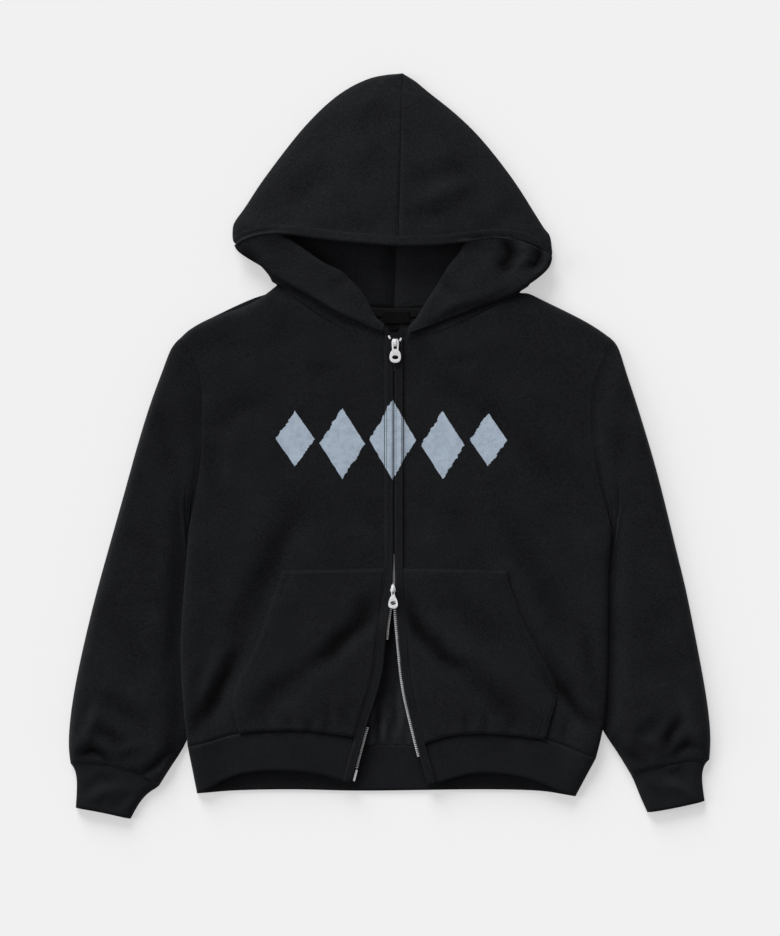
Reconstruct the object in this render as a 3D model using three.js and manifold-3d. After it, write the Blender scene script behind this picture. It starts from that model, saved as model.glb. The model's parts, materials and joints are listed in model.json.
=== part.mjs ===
// Zip up hoodie lying flat, front up. Millimetres, +Z up, the table is z = 0.
// The origin is on the underside of the back panel, on the line of the zip.
// "left" is the side at -X and "right" the side at +X, seen from above.
import * as THREE from "three";
import { mergeVertices } from "three/addons/utils/BufferGeometryUtils.js";
import Module from "manifold-3d";

// Driving dimensions
const fleeceWall = 2.2; // heavy brushed fleece
const ribWall = 3; // two layers of rib
const tapeWall = 1;
const labelWall = 0.8;
const placketWall = 1.5;
const placketWidth = 11;
const seamGap = 0.3;
const frontHeight = 15.5; // outer face of the fronts over the table
const rollRadius = 12; // how far a folded side curves down
const tuckLift = 8.4; // the body's sides lie on the sleeves
const tuckedSleeve = 7.4; // height of a sleeve under the body's side
const tuckClear = 9; // the sleeve rises again this far outside the body's side
const tuckRamp = [20, 44]; // the back lifts over this distance from its side
const tuckEntry = [-72, -107]; // the sleeve sinks here, before it goes under the side
const tuckStart = [-108, -118];
const tuckEnd = [-386, -440];
const sleeveRoll = 14;
const sleeveEdgeHeight = 6;
const cuffEdgeHeight = 5;
const evenRows = 5; // rows from the armhole until a sleeve's points are evenly spread
const sleeveSpacing = 0.25; // 0 crowds a sleeve's points at its edges, 1 spreads them alike
const pocketTopY = -158.5;
const pocketTopSlope = 0.02;
const underarmY = -107;
const centreUnderarmY = -97;
const farAway = 99; // a point with no edge near
const hemSideY = -390; // the side seam ends at the band here
// The fronts swell over the body and drop at the armholes
const billow = { height: 2.4, reach: 120, width: 75, fromY: 190, over: 120 };
const frontLiftShare = 0.55; // of the sleeve's lift that reaches the outer face
const underarmEase = { depth: 6, length: 22 };
const armholeSoftness = 5;
// A crease is a trough between two low ridges, shallower at its ends
const creaseShape = { endDepth: 0.35, ridge: 0.35, ridgeAt: 1.7, ridgeSharpness: 1.6, reach: 3 };
const bandArch = { edge: 13, rise: 3, reach: 1.1 }; // height of the band's lower edge in front

// Colours
const black = new THREE.Color("#1b1c1f");
const fabric = (shade) => new THREE.MeshStandardMaterial({
  color: black.clone().offsetHSL(0, 0, shade), roughness: 0.95, metalness: 0,
});
const metal = () => new THREE.MeshStandardMaterial({ color: "#c9cbcd", roughness: 0.28, metalness: 1 });

// Vector helpers on [x, y, z]
const plus = (a, b, k = 1) => [a[0] + b[0] * k, a[1] + b[1] * k, a[2] + b[2] * k];
const minus = (a, b) => [a[0] - b[0], a[1] - b[1], a[2] - b[2]];
const cross = (a, b) => [
  a[1] * b[2] - a[2] * b[1],
  a[2] * b[0] - a[0] * b[2],
  a[0] * b[1] - a[1] * b[0],
];
const unit = (a) => {
  const size = Math.hypot(...a) || 1;
  return [a[0] / size, a[1] / size, a[2] / size];
};
const mix = (a, b, t) => a + (b - a) * t;
const mixPoint = (a, b, t) => a.map((value, k) => mix(value, b[k], t));
const clamp01 = (t) => Math.min(1, Math.max(0, t));
const smoothStep = (t) => clamp01(t) ** 2 * (3 - 2 * clamp01(t));
const range = (count) => Array.from({ length: count }, (_, k) => k);

// A table has named columns, and each row becomes an object
const table = (names, ...rows) => rows.map(
  (row) => Object.fromEntries(names.map((name, k) => [name, row[k]])),
);

// Smooth reading of a table's column between its rows, with no overshoot
function read(rows, column, at, by) {
  const rising = rows.at(-1)[by] > rows[0][by];
  const list = rising ? rows : rows.toReversed();
  const last = list.length - 1;
  if (at <= list[0][by]) return list[0][column];
  if (at >= list[last][by]) return list[last][column];
  let k = 0;
  while (list[k + 1][by] < at) k += 1;
  const slope = (a, b) => (b[column] - a[column]) / (b[by] - a[by]);
  const width = list[k + 1][by] - list[k][by];
  const here = slope(list[k], list[k + 1]);
  const blend = (a, b) => (a * b > 0 ? (2 * a * b) / (a + b) : 0);
  const before = k > 0 ? blend(slope(list[k - 1], list[k]), here) : here;
  const after = k + 1 < last ? blend(slope(list[k + 1], list[k + 2]), here) : here;
  const t = (at - list[k][by]) / width;
  return (2 * t ** 3 - 3 * t ** 2 + 1) * list[k][column]
    + (t ** 3 - 2 * t ** 2 + t) * width * before
    + (3 * t ** 2 - 2 * t ** 3) * list[k + 1][column]
    + (t ** 3 - t ** 2) * width * after;
}

// Outline tables. reach is the distance from the zip line towards a side.
const sides = {
  left: {
    sign: -1,
    neck: table(["reach", "y"],
      [0, 143.5], [26, 143], [50, 145.6], [73, 152.4], [90, 163.4], [107, 174.2],
      [123, 185], [142, 200.5], [152, 208.7]),
    shoulder: table(["reach", "y"],
      [152, 208.7], [161, 201], [173, 192], [187, 184], [204, 178], [220, 173],
      [260, 156], [279, 139]),
    flank: table(["y", "reach"],
      [139, 279], [125, 268], [110, 258], [90, 250.5], [62, 248], [28, 249.6],
      [0, 249], [-50, 254.8], [-79, 260], [-107, 266], [-122, 267], [-194, 273],
      [-266, 277], [-338, 273], [-390, 267.5]),
    guide: table(["y", "reach"],
      [208.7, 152], [100, 150], [0, 148], [-100, 146], [-161, 144.5], [-201, 158],
      [-257, 177], [-300, 199], [-322, 211], [-345, 207], [-371, 200]),
    zip: table(["y", "reach"],
      [143, 0.6], [-135, 0.6], [-190, 3], [-217, 7], [-252, 11], [-282, 13],
      [-311, 18.7], [-364, 36], [-385, 41.6], [-436, 55]),
    hemSeam: table(["reach", "y"],
      [36, -381], [52, -377], [86, -372], [122, -368], [158, -368.7], [200, -372],
      [242, -383], [268, -390]),
    hemBottom: table(["reach", "y"],
      [55, -436], [66, -434.7], [86, -427.6], [122, -421.6], [158, -420],
      [194, -424], [218, -432], [242, -445.6], [256, -451]),
    armholeDrop: 4,
  },
  right: {
    sign: 1,
    neck: table(["reach", "y"],
      [0, 140.5], [20, 139.3], [55, 145.5], [87, 158], [107, 168], [134, 182],
      [161, 197.6], [168, 202]),
    shoulder: table(["reach", "y"],
      [168, 202], [198, 187], [229, 172], [259, 156], [280, 141]),
    flank: table(["y", "reach"],
      [141, 280], [124, 272], [104, 263], [82, 255.5], [48, 253.2], [19, 253.5],
      [-12, 258], [-45, 264], [-77, 272], [-107, 283], [-122, 282], [-170, 278],
      [-242, 277.6], [-315, 276.4], [-357, 273], [-405, 262]),
    guide: table(["y", "reach"],
      [202, 168], [100, 162], [0, 154], [-100, 149], [-163, 146.5], [-211, 160],
      [-252, 179], [-283, 196], [-320, 212], [-346, 205], [-378, 196]),
    zip: table(["y", "reach"],
      [142, 0.6], [-135, 0.6], [-190, 1.8], [-217, 2.6], [-255, 6], [-311, 11.7],
      [-354, 21.3], [-401, 32.8], [-440, 44]),
    hemSeam: table(["reach", "y"],
      [33, -388], [61, -378], [102, -372], [150, -374.7], [196, -380.6],
      [222, -388], [240, -396], [262, -405]),
    hemBottom: table(["reach", "y"],
      [44, -439.5], [54, -438], [78, -430], [112, -423], [150, -425.6],
      [186, -434.7], [210, -445.6], [236, -455]),
    armholeDrop: 0,
  },
};
const backNeck = table(["x", "y"],
  [-152, 208.7], [-118, 198], [-70, 186], [-30, 179], [0, 177], [35, 178],
  [80, 184], [125, 193], [168, 202]);
const backHem = table(["x", "y"],
  [-268, -390], [-220, -392], [-39, -391], [-5, -385], [25, -391], [220, -393], [262, -405]);
const backBottom = table(["x", "y"],
  [-256, -451], [-182, -446], [-110, -446], [-62, -448], [34, -447], [78, -446],
  [174, -446], [236, -455]);

// Main creases: a soft trough from start over a bend to its end
const foldNames = ["x1", "y1", "x2", "y2", "x3", "y3", "depth", "width"];
const folds = table(foldNames,
  [-262, 130, -209, 141, -110, 149, 2.6, 13],
  [-173, 190, -150, 178, -128, 168, 1.6, 9],
  [-240, 31, -181, 62, -138, 82, 3, 15],
  [-231, 34, -228, -10, -231, -45, 2.2, 11],
  [-135, -11, -155, -36, -172, -57, 2, 12],
  [-127, -51, -140, -98, -164, -147, 3.6, 14],
  [-164, -147, -188, -192, -204, -250, 3.8, 14],
  [-206, -260, -218, -318, -259, -376, 3.8, 14],
  [-248, -297, -252, -330, -259, -362, 2.2, 9],
  [-20, -193, -50, -240, -96, -274, 3.6, 14],
  [-96, -274, -138, -311, -181, -356, 3.4, 13],
  [-127, -330, -127, -348, -127, -366, 2.2, 8],
  [-77, -335, -77, -352, -77, -370, 2.2, 8],
  [49, 90, 76, 66, 103, 45, 2.4, 13],
  [106, 104, 150, 50, 195, 0, 3.4, 15],
  [195, 0, 226, -36, 261, -71, 3.4, 14],
  [128, -31, 148, -56, 165, -79, 2.8, 13],
  [165, -79, 181, -112, 196, -147, 2.8, 13],
  [72, -45, 86, -74, 100, -101, 2.6, 13],
  [100, -101, 119, -124, 139, -144, 2.4, 12],
  [18, -198, 30, -240, 66, -280, 3.4, 13],
  [66, -280, 103, -314, 156, -367, 3.6, 13],
  [72, -179, 104, -233, 139, -286, 2.8, 14],
  [145, -148, 170, -220, 196, -277, 3.6, 14],
  [196, -277, 226, -314, 264, -362, 3.6, 13],
  [207, -179, 228, -230, 250, -280, 2.4, 12],
  [93, -335, 93, -352, 93, -369, 2, 8],
  [122, -340, 122, -354, 122, -369, 2, 8],
);

function foldHeight(list, x, y) {
  let height = 0;
  for (const fold of list) {
    const legs = [[fold.x1, fold.y1, fold.x2, fold.y2], [fold.x2, fold.y2, fold.x3, fold.y3]];
    let best = { distance: Infinity, t: 0 };
    legs.forEach(([xa, ya, xb, yb], leg) => {
      const dx = xb - xa;
      const dy = yb - ya;
      const t = clamp01(((x - xa) * dx + (y - ya) * dy) / (dx * dx + dy * dy));
      const distance = Math.hypot(x - xa - dx * t, y - ya - dy * t);
      if (distance < best.distance) best = { distance, t: (leg + t) / 2 };
    });
    const reach = best.distance / fold.width;
    if (reach > creaseShape.reach) continue;
    const taper = mix(creaseShape.endDepth, 1, Math.sin(Math.PI * best.t));
    const ridge = creaseShape.ridge * Math.exp(-((reach - creaseShape.ridgeAt) ** 2) * creaseShape.ridgeSharpness);
    height += fold.depth * taper * (ridge - Math.exp(-reach * reach));
  }
  return height;
}

// How far the body's sides are lifted by the sleeves under them
function lift(side, x, y) {
  const inset = read(side.flank, "reach", Math.max(y, hemSideY), "y") - Math.abs(x);
  const across = 1 - smoothStep((inset - tuckRamp[0]) / (tuckRamp[1] - tuckRamp[0]));
  const down = smoothStep((tuckStart[0] - y) / (tuckStart[0] - tuckStart[1]));
  const up = 1 - smoothStep((tuckEnd[0] - y) / (tuckEnd[0] - tuckEnd[1]));
  return tuckLift * across * down * up;
}

const roundOff = (distance, radius) => {
  const inner = 1 - clamp01(distance / radius);
  return Math.sqrt(Math.max(0, 1 - inner * inner));
};

// Surfaces are grids of points; a wall is an outer grid and an inner grid
function gridNormals(grid, wrap) {
  const rows = grid.length;
  const columns = grid[0].length;
  return grid.map((line, i) => line.map((_, j) => {
    const up = grid[Math.max(i - 1, 0)][j];
    const down = grid[Math.min(i + 1, rows - 1)][j];
    const before = wrap ? line[(j + columns - 1) % columns] : line[Math.max(j - 1, 0)];
    const after = wrap ? line[(j + 1) % columns] : line[Math.min(j + 1, columns - 1)];
    return unit(cross(minus(after, before), minus(up, down)));
  }));
}

const moveGrid = (grid, normals, distance) => grid.map(
  (line, i) => line.map((point, j) => plus(point, normals[i][j], distance)),
);

function wallGeometry(outer, inner, wrap = false) {
  const rows = outer.length;
  const columns = outer[0].length;
  const positions = [...outer.flat(), ...inner.flat()];
  const top = (i, j) => i * columns + (j % columns);
  const low = (i, j) => rows * columns + top(i, j);
  const faces = [];
  const quad = (a, b, c, d) => faces.push([a, b, c], [a, c, d]);
  const spans = wrap ? columns : columns - 1;
  for (const i of range(rows - 1)) {
    for (const j of range(spans)) {
      quad(top(i, j), top(i + 1, j), top(i + 1, j + 1), top(i, j + 1));
      quad(low(i, j), low(i, j + 1), low(i + 1, j + 1), low(i + 1, j));
    }
  }
  for (const j of range(spans)) {
    quad(top(0, j + 1), low(0, j + 1), low(0, j), top(0, j));
    quad(top(rows - 1, j), low(rows - 1, j), low(rows - 1, j + 1), top(rows - 1, j + 1));
  }
  if (!wrap) {
    for (const i of range(rows - 1)) {
      quad(top(i, 0), low(i, 0), low(i + 1, 0), top(i + 1, 0));
      quad(top(i + 1, columns - 1), low(i + 1, columns - 1), low(i, columns - 1), top(i, columns - 1));
    }
  }
  let volume = 0;
  for (const [a, b, c] of faces) {
    const normal = cross(positions[b], positions[c]);
    volume += positions[a][0] * normal[0] + positions[a][1] * normal[1] + positions[a][2] * normal[2];
  }
  const turned = volume < 0 ? faces.map(([a, b, c]) => [a, c, b]) : faces;
  const geometry = new THREE.BufferGeometry();
  geometry.setAttribute("position", new THREE.Float32BufferAttribute(positions.flat(), 3));
  geometry.setIndex(turned.flat());
  return geometry;
}

const group = new THREE.Group();
function addMesh(name, geometry, material) {
  const mesh = new THREE.Mesh(geometry, material);
  mesh.name = name;
  group.add(mesh);
  return mesh;
}

// Fronts. Rows run down from the neck and shoulder to the hem seam, and
// columns from the zip edge over the placket and the pocket guide to the side.
const rollSteps = [1.2, 4.5, 12];
const rowPlan = { shoulder: 3, underarm: 14, pocket: 17, hem: 27 };
const columnPlan = { placket: 1, guide: 8, roll: 14, side: 17 };
const settleSteps = 12; // x and y depend on each other, so they are worked out in turn

function frontXY(side, i, j) {
  const topY = (reach) => {
    const shoulderStart = side.shoulder[0].reach;
    return reach <= shoulderStart ? read(side.neck, "y", reach, "reach")
      : read(side.shoulder, "y", reach, "reach");
  };
  let y = 0;
  let reach = 0;
  const rowY = (at) => {
    const top = topY(at);
    const underarm = mix(centreUnderarmY, underarmY, clamp01(at / read(side.flank, "reach", underarmY, "y")));
    const pocket = pocketTopY - pocketTopSlope * at;
    if (i === 0) return top;
    if (i <= rowPlan.shoulder) return top - rollSteps[i - 1];
    const firstTop = top - rollSteps[2];
    if (i <= rowPlan.underarm) {
      return mix(firstTop, underarm, (i - rowPlan.shoulder) / (rowPlan.underarm - rowPlan.shoulder));
    }
    if (i <= rowPlan.pocket) {
      return mix(underarm, pocket, (i - rowPlan.underarm) / (rowPlan.pocket - rowPlan.underarm));
    }
    const hem = read(side.hemSeam, "y", at, "reach");
    return mix(pocket, hem, (i - rowPlan.pocket) / (rowPlan.hem - rowPlan.pocket));
  };
  const columnReach = (atY) => {
    const zip = read(side.zip, "reach", atY, "y");
    const placket = zip + placketWidth;
    const guide = i === 0 ? side.shoulder[0].reach : read(side.guide, "reach", atY, "y");
    const flank = read(side.flank, "reach", atY, "y");
    if (j === 0) return zip;
    if (j <= columnPlan.guide) {
      return mix(placket, guide, (j - columnPlan.placket) / (columnPlan.guide - columnPlan.placket));
    }
    if (j <= columnPlan.roll) {
      return mix(guide, flank - rollSteps[2], (j - columnPlan.guide) / (columnPlan.roll - columnPlan.guide));
    }
    return flank - [rollSteps[1], rollSteps[0], 0][j - columnPlan.roll - 1];
  };
  for (const step of range(settleSteps)) {
    y = rowY(reach);
    reach = step < settleSteps - 1 ? columnReach(y) : reach;
  }
  return [side.sign * reach, y];
}

function frontHeightAt(side, x, y, toSide, toShoulder) {
  const ground = lift(side, x, y);
  const seam = ground + fleeceWall + seamGap;
  const reach = Math.abs(x);
  const swell = billow.height * Math.exp(-(((reach - billow.reach) / billow.width) ** 2))
    * smoothStep((billow.fromY - y) / billow.over);
  const full = frontHeight + ground * frontLiftShare + swell + foldHeight(folds, x, y);
  const sideRound = y < underarmY + 1
    ? roundOff(toSide + underarmEase.depth * smoothStep(1 + (y - underarmY) / underarmEase.length), rollRadius)
    : 1 - (side.armholeDrop / full) * Math.exp(-toSide / armholeSoftness);
  const shoulderRound = reach > side.shoulder[0].reach - 1 ? roundOff(toShoulder, rollRadius)
    : Math.max(roundOff(toShoulder, rollRadius), clamp01((side.shoulder[0].reach - reach) / rollRadius));
  return seam + (full - seam) * sideRound * shoulderRound;
}

function makeFront(side) {
  const outer = range(rowPlan.hem + 1).map((i) => range(columnPlan.side + 1).map((j) => {
    const [x, y] = frontXY(side, i, j);
    const toSide = j >= columnPlan.roll ? [rollSteps[2], rollSteps[1], rollSteps[0], 0][j - columnPlan.roll] : farAway;
    const toShoulder = i <= rowPlan.shoulder ? [0, ...rollSteps][i] : farAway;
    return [x, y, frontHeightAt(side, x, y, toSide, toShoulder)];
  }));
  const normals = gridNormals(outer, false).map((line) => line.map((n) => (side.sign < 0 ? n.map((v) => -v) : n)));
  const inner = moveGrid(outer, normals, -fleeceWall);
  // the folded edges stand flat on the back panel
  outer.forEach((line, i) => line.forEach((point, j) => {
    const onShoulder = i === 0 && j >= columnPlan.guide;
    const onSide = j === columnPlan.side && i > rowPlan.underarm;
    if (onShoulder || onSide) inner[i][j][2] = point[2];
    if (j === 0) inner[i][j][0] = point[0];
  }));
  return { outer, inner, normals };
}

const fronts = { left: makeFront(sides.left), right: makeFront(sides.right) };
for (const name of ["left", "right"]) {
  addMesh(`front_${name}`, wallGeometry(fronts[name].outer, fronts[name].inner), fabric(0));
}

// Back. Its sides share the fronts' side points, and it lies on the table.
const backInsets = [22, 46]; // columns where the lift over the sleeves starts and ends
const backNeckX = [-152, -84, -30, 8, 50, 108, 168];
const backColumnCount = backNeckX.length + 2 * (backInsets.length + 1);
const backOuter = range(rowPlan.hem + 1).map((i) => {
  const start = fronts.left.outer[i][columnPlan.side];
  const end = fronts.right.outer[i][columnPlan.side];
  const low = start[0] + backInsets[1];
  const high = end[0] - backInsets[1];
  const evenX = backNeckX.map((_, k) => mix(low, high, (k + 1) / (backNeckX.length + 1)));
  const topShare = clamp01((rowPlan.underarm - i) / rowPlan.underarm) ** 2;
  const xs = [
    start[0], start[0] + backInsets[0], low,
    ...evenX.map((x, k) => mix(x, backNeckX[k], topShare)),
    high, end[0] - backInsets[0], end[0],
  ];
  return xs.map((x, column) => {
    if (column === 0) return [start[0], start[1], lift(sides.left, ...start)];
    if (column === xs.length - 1) return [end[0], end[1], lift(sides.right, ...end)];
    const side = x < 0 ? sides.left : sides.right;
    const share = (x - start[0]) / (end[0] - start[0]);
    const straight = mix(start[1], end[1], share);
    let y = straight;
    if (i < rowPlan.underarm) {
      const inNeck = x >= backNeck[0].x && x <= backNeck.at(-1).x;
      const top = inNeck ? read(backNeck, "y", x, "x") : read(side.shoulder, "y", Math.abs(x), "reach");
      const firstRow = mix(fronts.left.outer[0][columnPlan.side][1],
        fronts.right.outer[0][columnPlan.side][1], share);
      const underarm = mix(fronts.left.outer[rowPlan.underarm][columnPlan.side][1],
        fronts.right.outer[rowPlan.underarm][columnPlan.side][1], share);
      y = mix(top, underarm, (firstRow - straight) / (firstRow - underarm));
    }
    const bottomPart = clamp01((i - rowPlan.pocket) / (rowPlan.hem - rowPlan.pocket));
    y = mix(y, read(backHem, "y", x, "x"), bottomPart ** 3);
    return [x, y, lift(side, x, y)];
  });
});
const backInner = backOuter.map((line) => line.map((point) => plus(point, [0, 0, fleeceWall])));
addMesh("back", wallGeometry(backOuter, backInner), fabric(0.01));

// Sleeves. Rows run from the armhole to the cuff, from the outer edge A to the
// inner edge B, which goes under the body's side.
const sleeveNames = ["ax", "ay", "bx", "by", "top", "bulge", "bow"];
const sleeveRows = {
  left: table(sleeveNames,
    [-286, 132, -268.8, -109, 14, 0.92, 0],
    [-292, 122, -269.6, -117, 17, 0.8, 0],
    [-300, 99, -269, -129, 19, 0.5, 0],
    [-314, 63, -266, -145, 20, 0.25, 0],
    [-329, 16, -262, -166, 21, 0.08, 0],
    [-342, -31, -256, -190, 21, 0, 0],
    [-357, -85, -257, -218, 20.5, 0, 0],
    [-372, -138, -259, -246, 20, 0, 0],
    [-386, -188, -260, -272, 20, 0, 0],
    [-398, -236, -260, -297, 20, 0, 0],
    [-409, -285, -259, -322, 20, 0, 0],
    [-418, -332, -260, -350, 21, 0, 2],
    [-422.5, -372, -268, -385, 22, 0, 5],
    [-422.5, -397, -288, -414, 19, 0, 8],
    [-420, -412, -304.5, -440.5, 13, 0, 9]),
  right: table(sleeveNames,
    [287, 135, 286.5, -108.5, 13, 0.94, 0],
    [293, 125, 287.6, -116, 14, 0.84, 0],
    [301, 97, 286.6, -128, 19, 0.5, 0],
    [313, 62, 284, -144, 20, 0.25, 0],
    [326, 20, 278, -166, 21, 0.08, 0],
    [340, -27, 266, -189, 21, 0, 0],
    [354, -82, 260, -214, 20.5, 0, 0],
    [366, -133, 260, -240, 20, 0, 0],
    [379, -184, 260, -266, 20, 0, 0],
    [389, -235, 260, -291, 20, 0, 0],
    [399, -286, 260, -316, 20, 0, 0],
    [407, -332, 262, -342, 21, 0, 1],
    [411, -368, 268, -367, 22, 0, 2],
    [411, -391, 288, -394, 19, 0, 3],
    [409.5, -407, 308, -427.5, 13, 0, 3]),
};
const sleeveFolds = table(foldNames,
  [-312, 40, -292, 10, -285, -30, 2.6, 13],
  [-338, -60, -318, -100, -300, -150, 3, 14],
  [-372, -160, -345, -200, -300, -235, 3.2, 14],
  [-400, -280, -365, -300, -300, -305, 3, 13],
  [-418, -345, -390, -352, -350, -345, 2.6, 11],
  [-398, -372, -392, -388, -388, -404, 3.6, 10],
  [-345, -365, -342, -385, -336, -408, 3.6, 10],
  [300, 60, 290, 20, 292, -30, 2.6, 12],
  [330, -40, 315, -90, 300, -140, 3, 14],
  [362, -140, 335, -180, 300, -215, 3.2, 14],
  [390, -260, 355, -285, 300, -300, 3, 13],
  [380, -340, 381, -372, 381, -402, 3.6, 10],
  [351, -360, 351, -384, 351, -408, 3.2, 9],
  [322, -372, 322, -392, 325, -415, 3, 9],
);

const armholeRing = (name) => {
  const front = fronts[name];
  const edge = name === "left" ? 0 : backColumnCount - 1;
  const sign = sides[name].sign;
  const rows = range(rowPlan.underarm + 1);
  const away = (point) => plus(point, [sign * seamGap, 0, 0]);
  const frontOuter = rows.map((i) => away(front.outer[i][columnPlan.side]));
  const frontInner = rows.map((i) => away(front.inner[i][columnPlan.side]));
  const lowOuter = rows.toReversed().map((i) => away(backOuter[i][edge]));
  const lowInner = rows.toReversed().map((i) => away(backInner[i][edge]));
  // at the two ends the inner points step in, so that the ring keeps its wall
  lowInner[0] = plus(frontInner.at(-1), [0, 0, -seamGap]);
  lowInner[lowInner.length - 1] = plus(frontInner[0], [0, 0, -seamGap]);
  return { outer: [...frontOuter, ...lowOuter], inner: [...frontInner, ...lowInner] };
};

function sleeveHeight(side, x, y, full) {
  const edge = read(side.flank, "reach", y, "y");
  const outside = Math.abs(x) - edge;
  const entering = smoothStep((tuckEntry[0] - y) / (tuckEntry[0] - tuckEntry[1]));
  const leaving = smoothStep((tuckEnd[0] - 4 - y) / 12);
  const low = mix(mix(full, tuckedSleeve, entering), full, leaving);
  return Math.min(full, low + Math.max(0, outside - tuckClear));
}

function tubeRows(name, rows, start, edgeHeight, heightAt) {
  const side = sides[name];
  const count = start.outer.length;
  const half = count / 2;
  const tip = start.outer[0];
  const underarm = start.outer[half - 1];
  const chord = [underarm[0] - tip[0], underarm[1] - tip[1]];
  const chordSize = chord[0] ** 2 + chord[1] ** 2;
  const shareOf = (point) => ((point[0] - tip[0]) * chord[0] + (point[1] - tip[1]) * chord[1]) / chordSize;
  const curve = start.outer.slice(0, half).map((point) => ({
    share: shareOf(point),
    x: point[0] - tip[0] - chord[0] * shareOf(point),
    y: point[1] - tip[1] - chord[1] * shareOf(point),
  }));
  const bulgeAt = (share) => [read(curve, "x", share, "share"), read(curve, "y", share, "share")];
  return rows.map((row, k) => range(count).map((slot) => {
    const isTop = slot < half;
    const order = isTop ? slot : count - 1 - slot;
    const own = start.outer[slot];
    const ownShare = shareOf(own);
    const even = 0.5 - 0.5 * Math.cos((Math.PI * order) / (half - 1));
    const ideal = mix(even, order / (half - 1), sleeveSpacing);
    const share = mix(ownShare, ideal, clamp01(k / evenRows));
    const bulge = bulgeAt(share);
    const length = Math.hypot(row.bx - row.ax, row.by - row.ay);
    const across = unit([row.ay - row.by, row.bx - row.ax, 0]);
    const bowUp = row.bow * 4 * share * (1 - share) * Math.sign(across[1] || 1);
    const x = mix(row.ax, row.bx, share) + bulge[0] * row.bulge + across[0] * bowUp;
    const y = mix(row.ay, row.by, share) + bulge[1] * row.bulge + across[1] * bowUp;
    const near = share * length;
    const far = (1 - share) * length;
    const round = roundOff(near, sleeveRoll) * roundOff(far, sleeveRoll);
    if (!isTop) return [x, y, edgeHeight * 0.5 * (1 - round)];
    const full = heightAt(side, x, y, row);
    const end = Math.min(edgeHeight, full * 0.6);
    return [x, y, mix(end, full, round)];
  }));
}

// The inside of a tube stays over its lower wall
const raise = (grid) => grid.map((line) => line.map(([x, y, z]) => [x, y, Math.max(z, fleeceWall * 0.9)]));

function makeSleeve(name) {
  const start = armholeRing(name);
  const body = tubeRows(name, sleeveRows[name], start, sleeveEdgeHeight, (side, x, y, row) => (
    sleeveHeight(side, x, y, row.top + foldHeight(sleeveFolds, x, y))));
  const outer = [start.outer, ...body];
  const normals = gridNormals(outer, true);
  const facing = -sides[name].sign;
  const inner = raise(moveGrid(outer, normals, -fleeceWall * facing));
  inner[0] = start.inner;
  return { outer, inner, facing };
}

const cuffNames = ["ax", "ay", "bx", "by", "top", "bulge", "bow"];
const cuffRows = {
  left: table(cuffNames,
    [-415, -418, -309, -444.5, 12, 0, 8],
    [-411.7, -431, -319, -450, 12.5, 0, 4],
    [-412, -450, -331, -463, 12.5, 0, 1],
    [-413.4, -469.5, -342, -484, 12, 0, 1]),
  right: table(cuffNames,
    [403, -413, 311, -433, 12, 0, 2],
    [399.6, -427, 315, -443, 12.5, 0, 1],
    [401, -444, 320.5, -457, 12.5, 0, 0],
    [403.5, -460.5, 329, -475.5, 12, 0, -1]),
};

const sleeves = { left: makeSleeve("left"), right: makeSleeve("right") };
for (const name of ["left", "right"]) {
  const sleeve = sleeves[name];
  addMesh(`sleeve_${name}`, wallGeometry(sleeve.outer, sleeve.inner, true), fabric(0));
  const lastOuter = sleeve.outer.at(-1);
  const away = (point) => plus(point, [0, -seamGap, 0]);
  const start = { outer: lastOuter.map(away), inner: sleeve.inner.at(-1).map(away) };
  const order = { outer: sleeve.outer[0], inner: sleeve.inner[0] };
  const body = tubeRows(name, cuffRows[name], order, cuffEdgeHeight, (side, x, y, row) => row.top);
  const outer = [start.outer, ...body];
  const normals = gridNormals(outer, true);
  const inner = raise(moveGrid(outer, normals, -ribWall * sleeve.facing));
  inner[0] = start.inner;
  addMesh(`cuff_${name}`, wallGeometry(outer, inner, true), fabric(-0.005));
}

// Hem band: one strip of rib, from the left zip edge round the back to the right
const bandShares = [0.33, 0.7, 1];
function bandFrontColumns(name) {
  const side = sides[name];
  const seam = fronts[name].outer[rowPlan.hem];
  const zipEnd = side.hemBottom[0].reach;
  const corner = side.hemBottom.at(-1).reach;
  const first = Math.abs(seam[0][0]);
  const last = Math.abs(seam[columnPlan.side][0]);
  return seam.map((point, j) => {
    const share = (Math.abs(point[0]) - first) / (last - first);
    let reach = mix(zipEnd, corner, share);
    if (j === columnPlan.placket) reach = zipEnd + placketWidth;
    if (j > columnPlan.roll) reach = corner - (last - Math.abs(point[0]));
    const y = read(side.hemBottom, "y", reach, "reach");
    const toSide = corner - reach;
    const full = bandArch.edge + bandArch.rise * Math.sin(Math.PI * clamp01(share * bandArch.reach));
    const height = fleeceWall + seamGap + (full - fleeceWall - seamGap) * roundOff(toSide, rollRadius);
    return { top: point, bottom: [side.sign * reach, y, height] };
  });
}
const bandBack = backOuter[rowPlan.hem].map((point) => {
  const first = backOuter[rowPlan.hem][0][0];
  const last = backOuter[rowPlan.hem].at(-1)[0];
  const share = (point[0] - first) / (last - first);
  const x = mix(-sides.left.hemBottom.at(-1).reach, sides.right.hemBottom.at(-1).reach, share);
  return { top: point, bottom: [x, read(backBottom, "y", x, "x"), 0] };
});
const bandColumns = [
  ...bandFrontColumns("left"), ...bandBack, ...bandFrontColumns("right").toReversed(),
];
const bandGap = 2 * seamGap;
const bandTop = bandColumns.map((column) => plus(column.top, [0, -bandGap, 0]));
const bandOuter = [
  bandTop,
  ...bandShares.map((share) => bandColumns.map((column) => mixPoint(column.top, column.bottom, share))),
];
const bandNormals = gridNormals(bandOuter, false).map((line) => line.map((n) => n.map((v) => -v)));
const bandInner = moveGrid(bandOuter, bandNormals, -ribWall);
const bandTopInner = [
  ...fronts.left.inner[rowPlan.hem], ...backInner[rowPlan.hem], ...fronts.right.inner[rowPlan.hem].toReversed(),
].map((point) => plus(point, [0, -bandGap, 0]));
const backStart = columnPlan.side + 1;
const backEnd = backStart + bandBack.length - 1;
bandTopInner[backStart] = plus(bandTopInner[backStart - 1], [0, 0, -seamGap]);
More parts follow.
